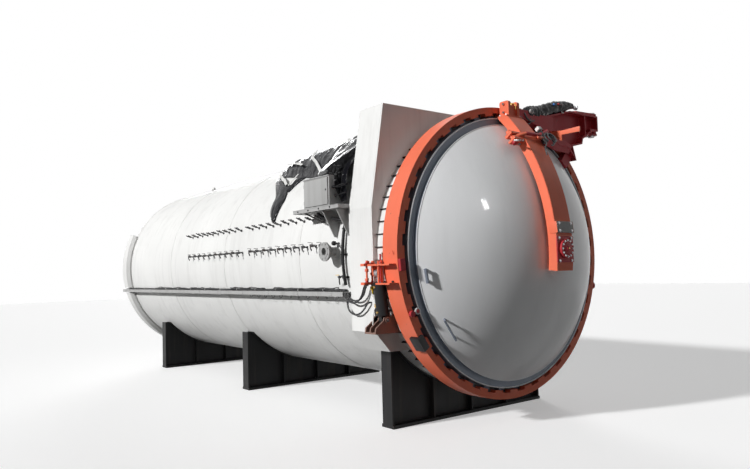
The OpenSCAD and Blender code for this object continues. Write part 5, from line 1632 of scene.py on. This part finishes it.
# %% Lamps
def lamp(name, kind, direction, strength):
    """A lamp that shines from that direction."""
    data = bpy.data.lights.new(name, kind)
    data.energy = strength
    item = bpy.data.objects.new(name, data)
    item.rotation_euler = Vector(direction).to_track_quat("Z", "Y").to_euler()
    bpy.context.scene.collection.objects.link(item)
    return item


for name, direction, strength, spread in (("key", (-0.134, -0.904, 0.406), 3.5, 4),
                                          ("fill", (0.85, -0.30, 0.45), 0.05, 60),
                                          ("back", (-0.84, 0.48, 0.25), 1.3, 20)):
    lamp(name, "SUN", direction, strength).data.angle = math.radians(spread)

GLINT_ON, GLINT_FROM, GLINT_AWAY = Vector((1.33, -0.93, 2.74)), Vector((0.87, 0.061, 0.489)), 8
glint = lamp("glint", "AREA", GLINT_FROM, 110)
glint.data.shape = "RECTANGLE"
glint.data.size, glint.data.size_y = 0.55, 1.0
glint.location = GLINT_ON + GLINT_FROM * GLINT_AWAY
glint.visible_diffuse = False

# %% World
# Its light on the object is weak. The camera, mirrors and glass see a white backdrop.
AMBIENT, BACKDROP = 0.07, 1.0
world = bpy.data.worlds.new("studio")
world.use_nodes = True
bpy.context.scene.world = world
studio = NodeTree(world.node_tree)
rays = studio.add("ShaderNodeLightPath").outputs
seen = studio.maths("MAXIMUM", rays["Is Camera Ray"], rays["Is Glossy Ray"])
seen = studio.maths("MAXIMUM", seen, rays["Is Transmission Ray"])
sky = studio.tree.nodes["Background"]
studio.put(sky.inputs["Strength"], studio.ramp(seen, To_Min=AMBIENT, To_Max=BACKDROP))
studio.put(sky.inputs["Color"], (1, 1, 1, 1))
print("world at", AMBIENT, "for light and", BACKDROP, "for the eye")

# %% Floor
# Dark for the light it throws back, pale and a little bright for the eye, so that it meets the backdrop.
FLOOR_REACH, LIT_TONE, SEEN_TONE, FLOOR_GLOW = 60, 0.10, 0.80, 0.36
concrete = Shader("pale_floor")
rays = concrete.add("ShaderNodeLightPath").outputs
direct = concrete.maths("MAXIMUM", rays["Is Camera Ray"], rays["Is Glossy Ray"])
tone = concrete.mix(direct, (LIT_TONE, LIT_TONE, LIT_TONE, 1), (SEEN_TONE, SEEN_TONE, SEEN_TONE, 1))
floor_paint = concrete.done(Base_Color=tone, Roughness=0.9, Specular_IOR_Level=0.1,
                            Emission_Color=(1, 1, 1, 1),
                            Emission_Strength=concrete.maths("MULTIPLY", direct, FLOOR_GLOW))
floor_mesh = bpy.data.meshes.new("floor")
corners = [(x * FLOOR_REACH, y * FLOOR_REACH, cad_low.z - 0.002)
           for x, y in ((-1, -1), (1, -1), (1, 1), (-1, 1))]
floor_mesh.from_pydata(corners, [], [(0, 1, 2, 3)])
floor_mesh.materials.append(floor_paint)
floor = bpy.data.objects.new("floor", floor_mesh)
bpy.context.scene.collection.objects.link(floor)
bpy.context.scene.view_settings.view_transform = "Standard"
print("floor", 2 * FLOOR_REACH, "m across")
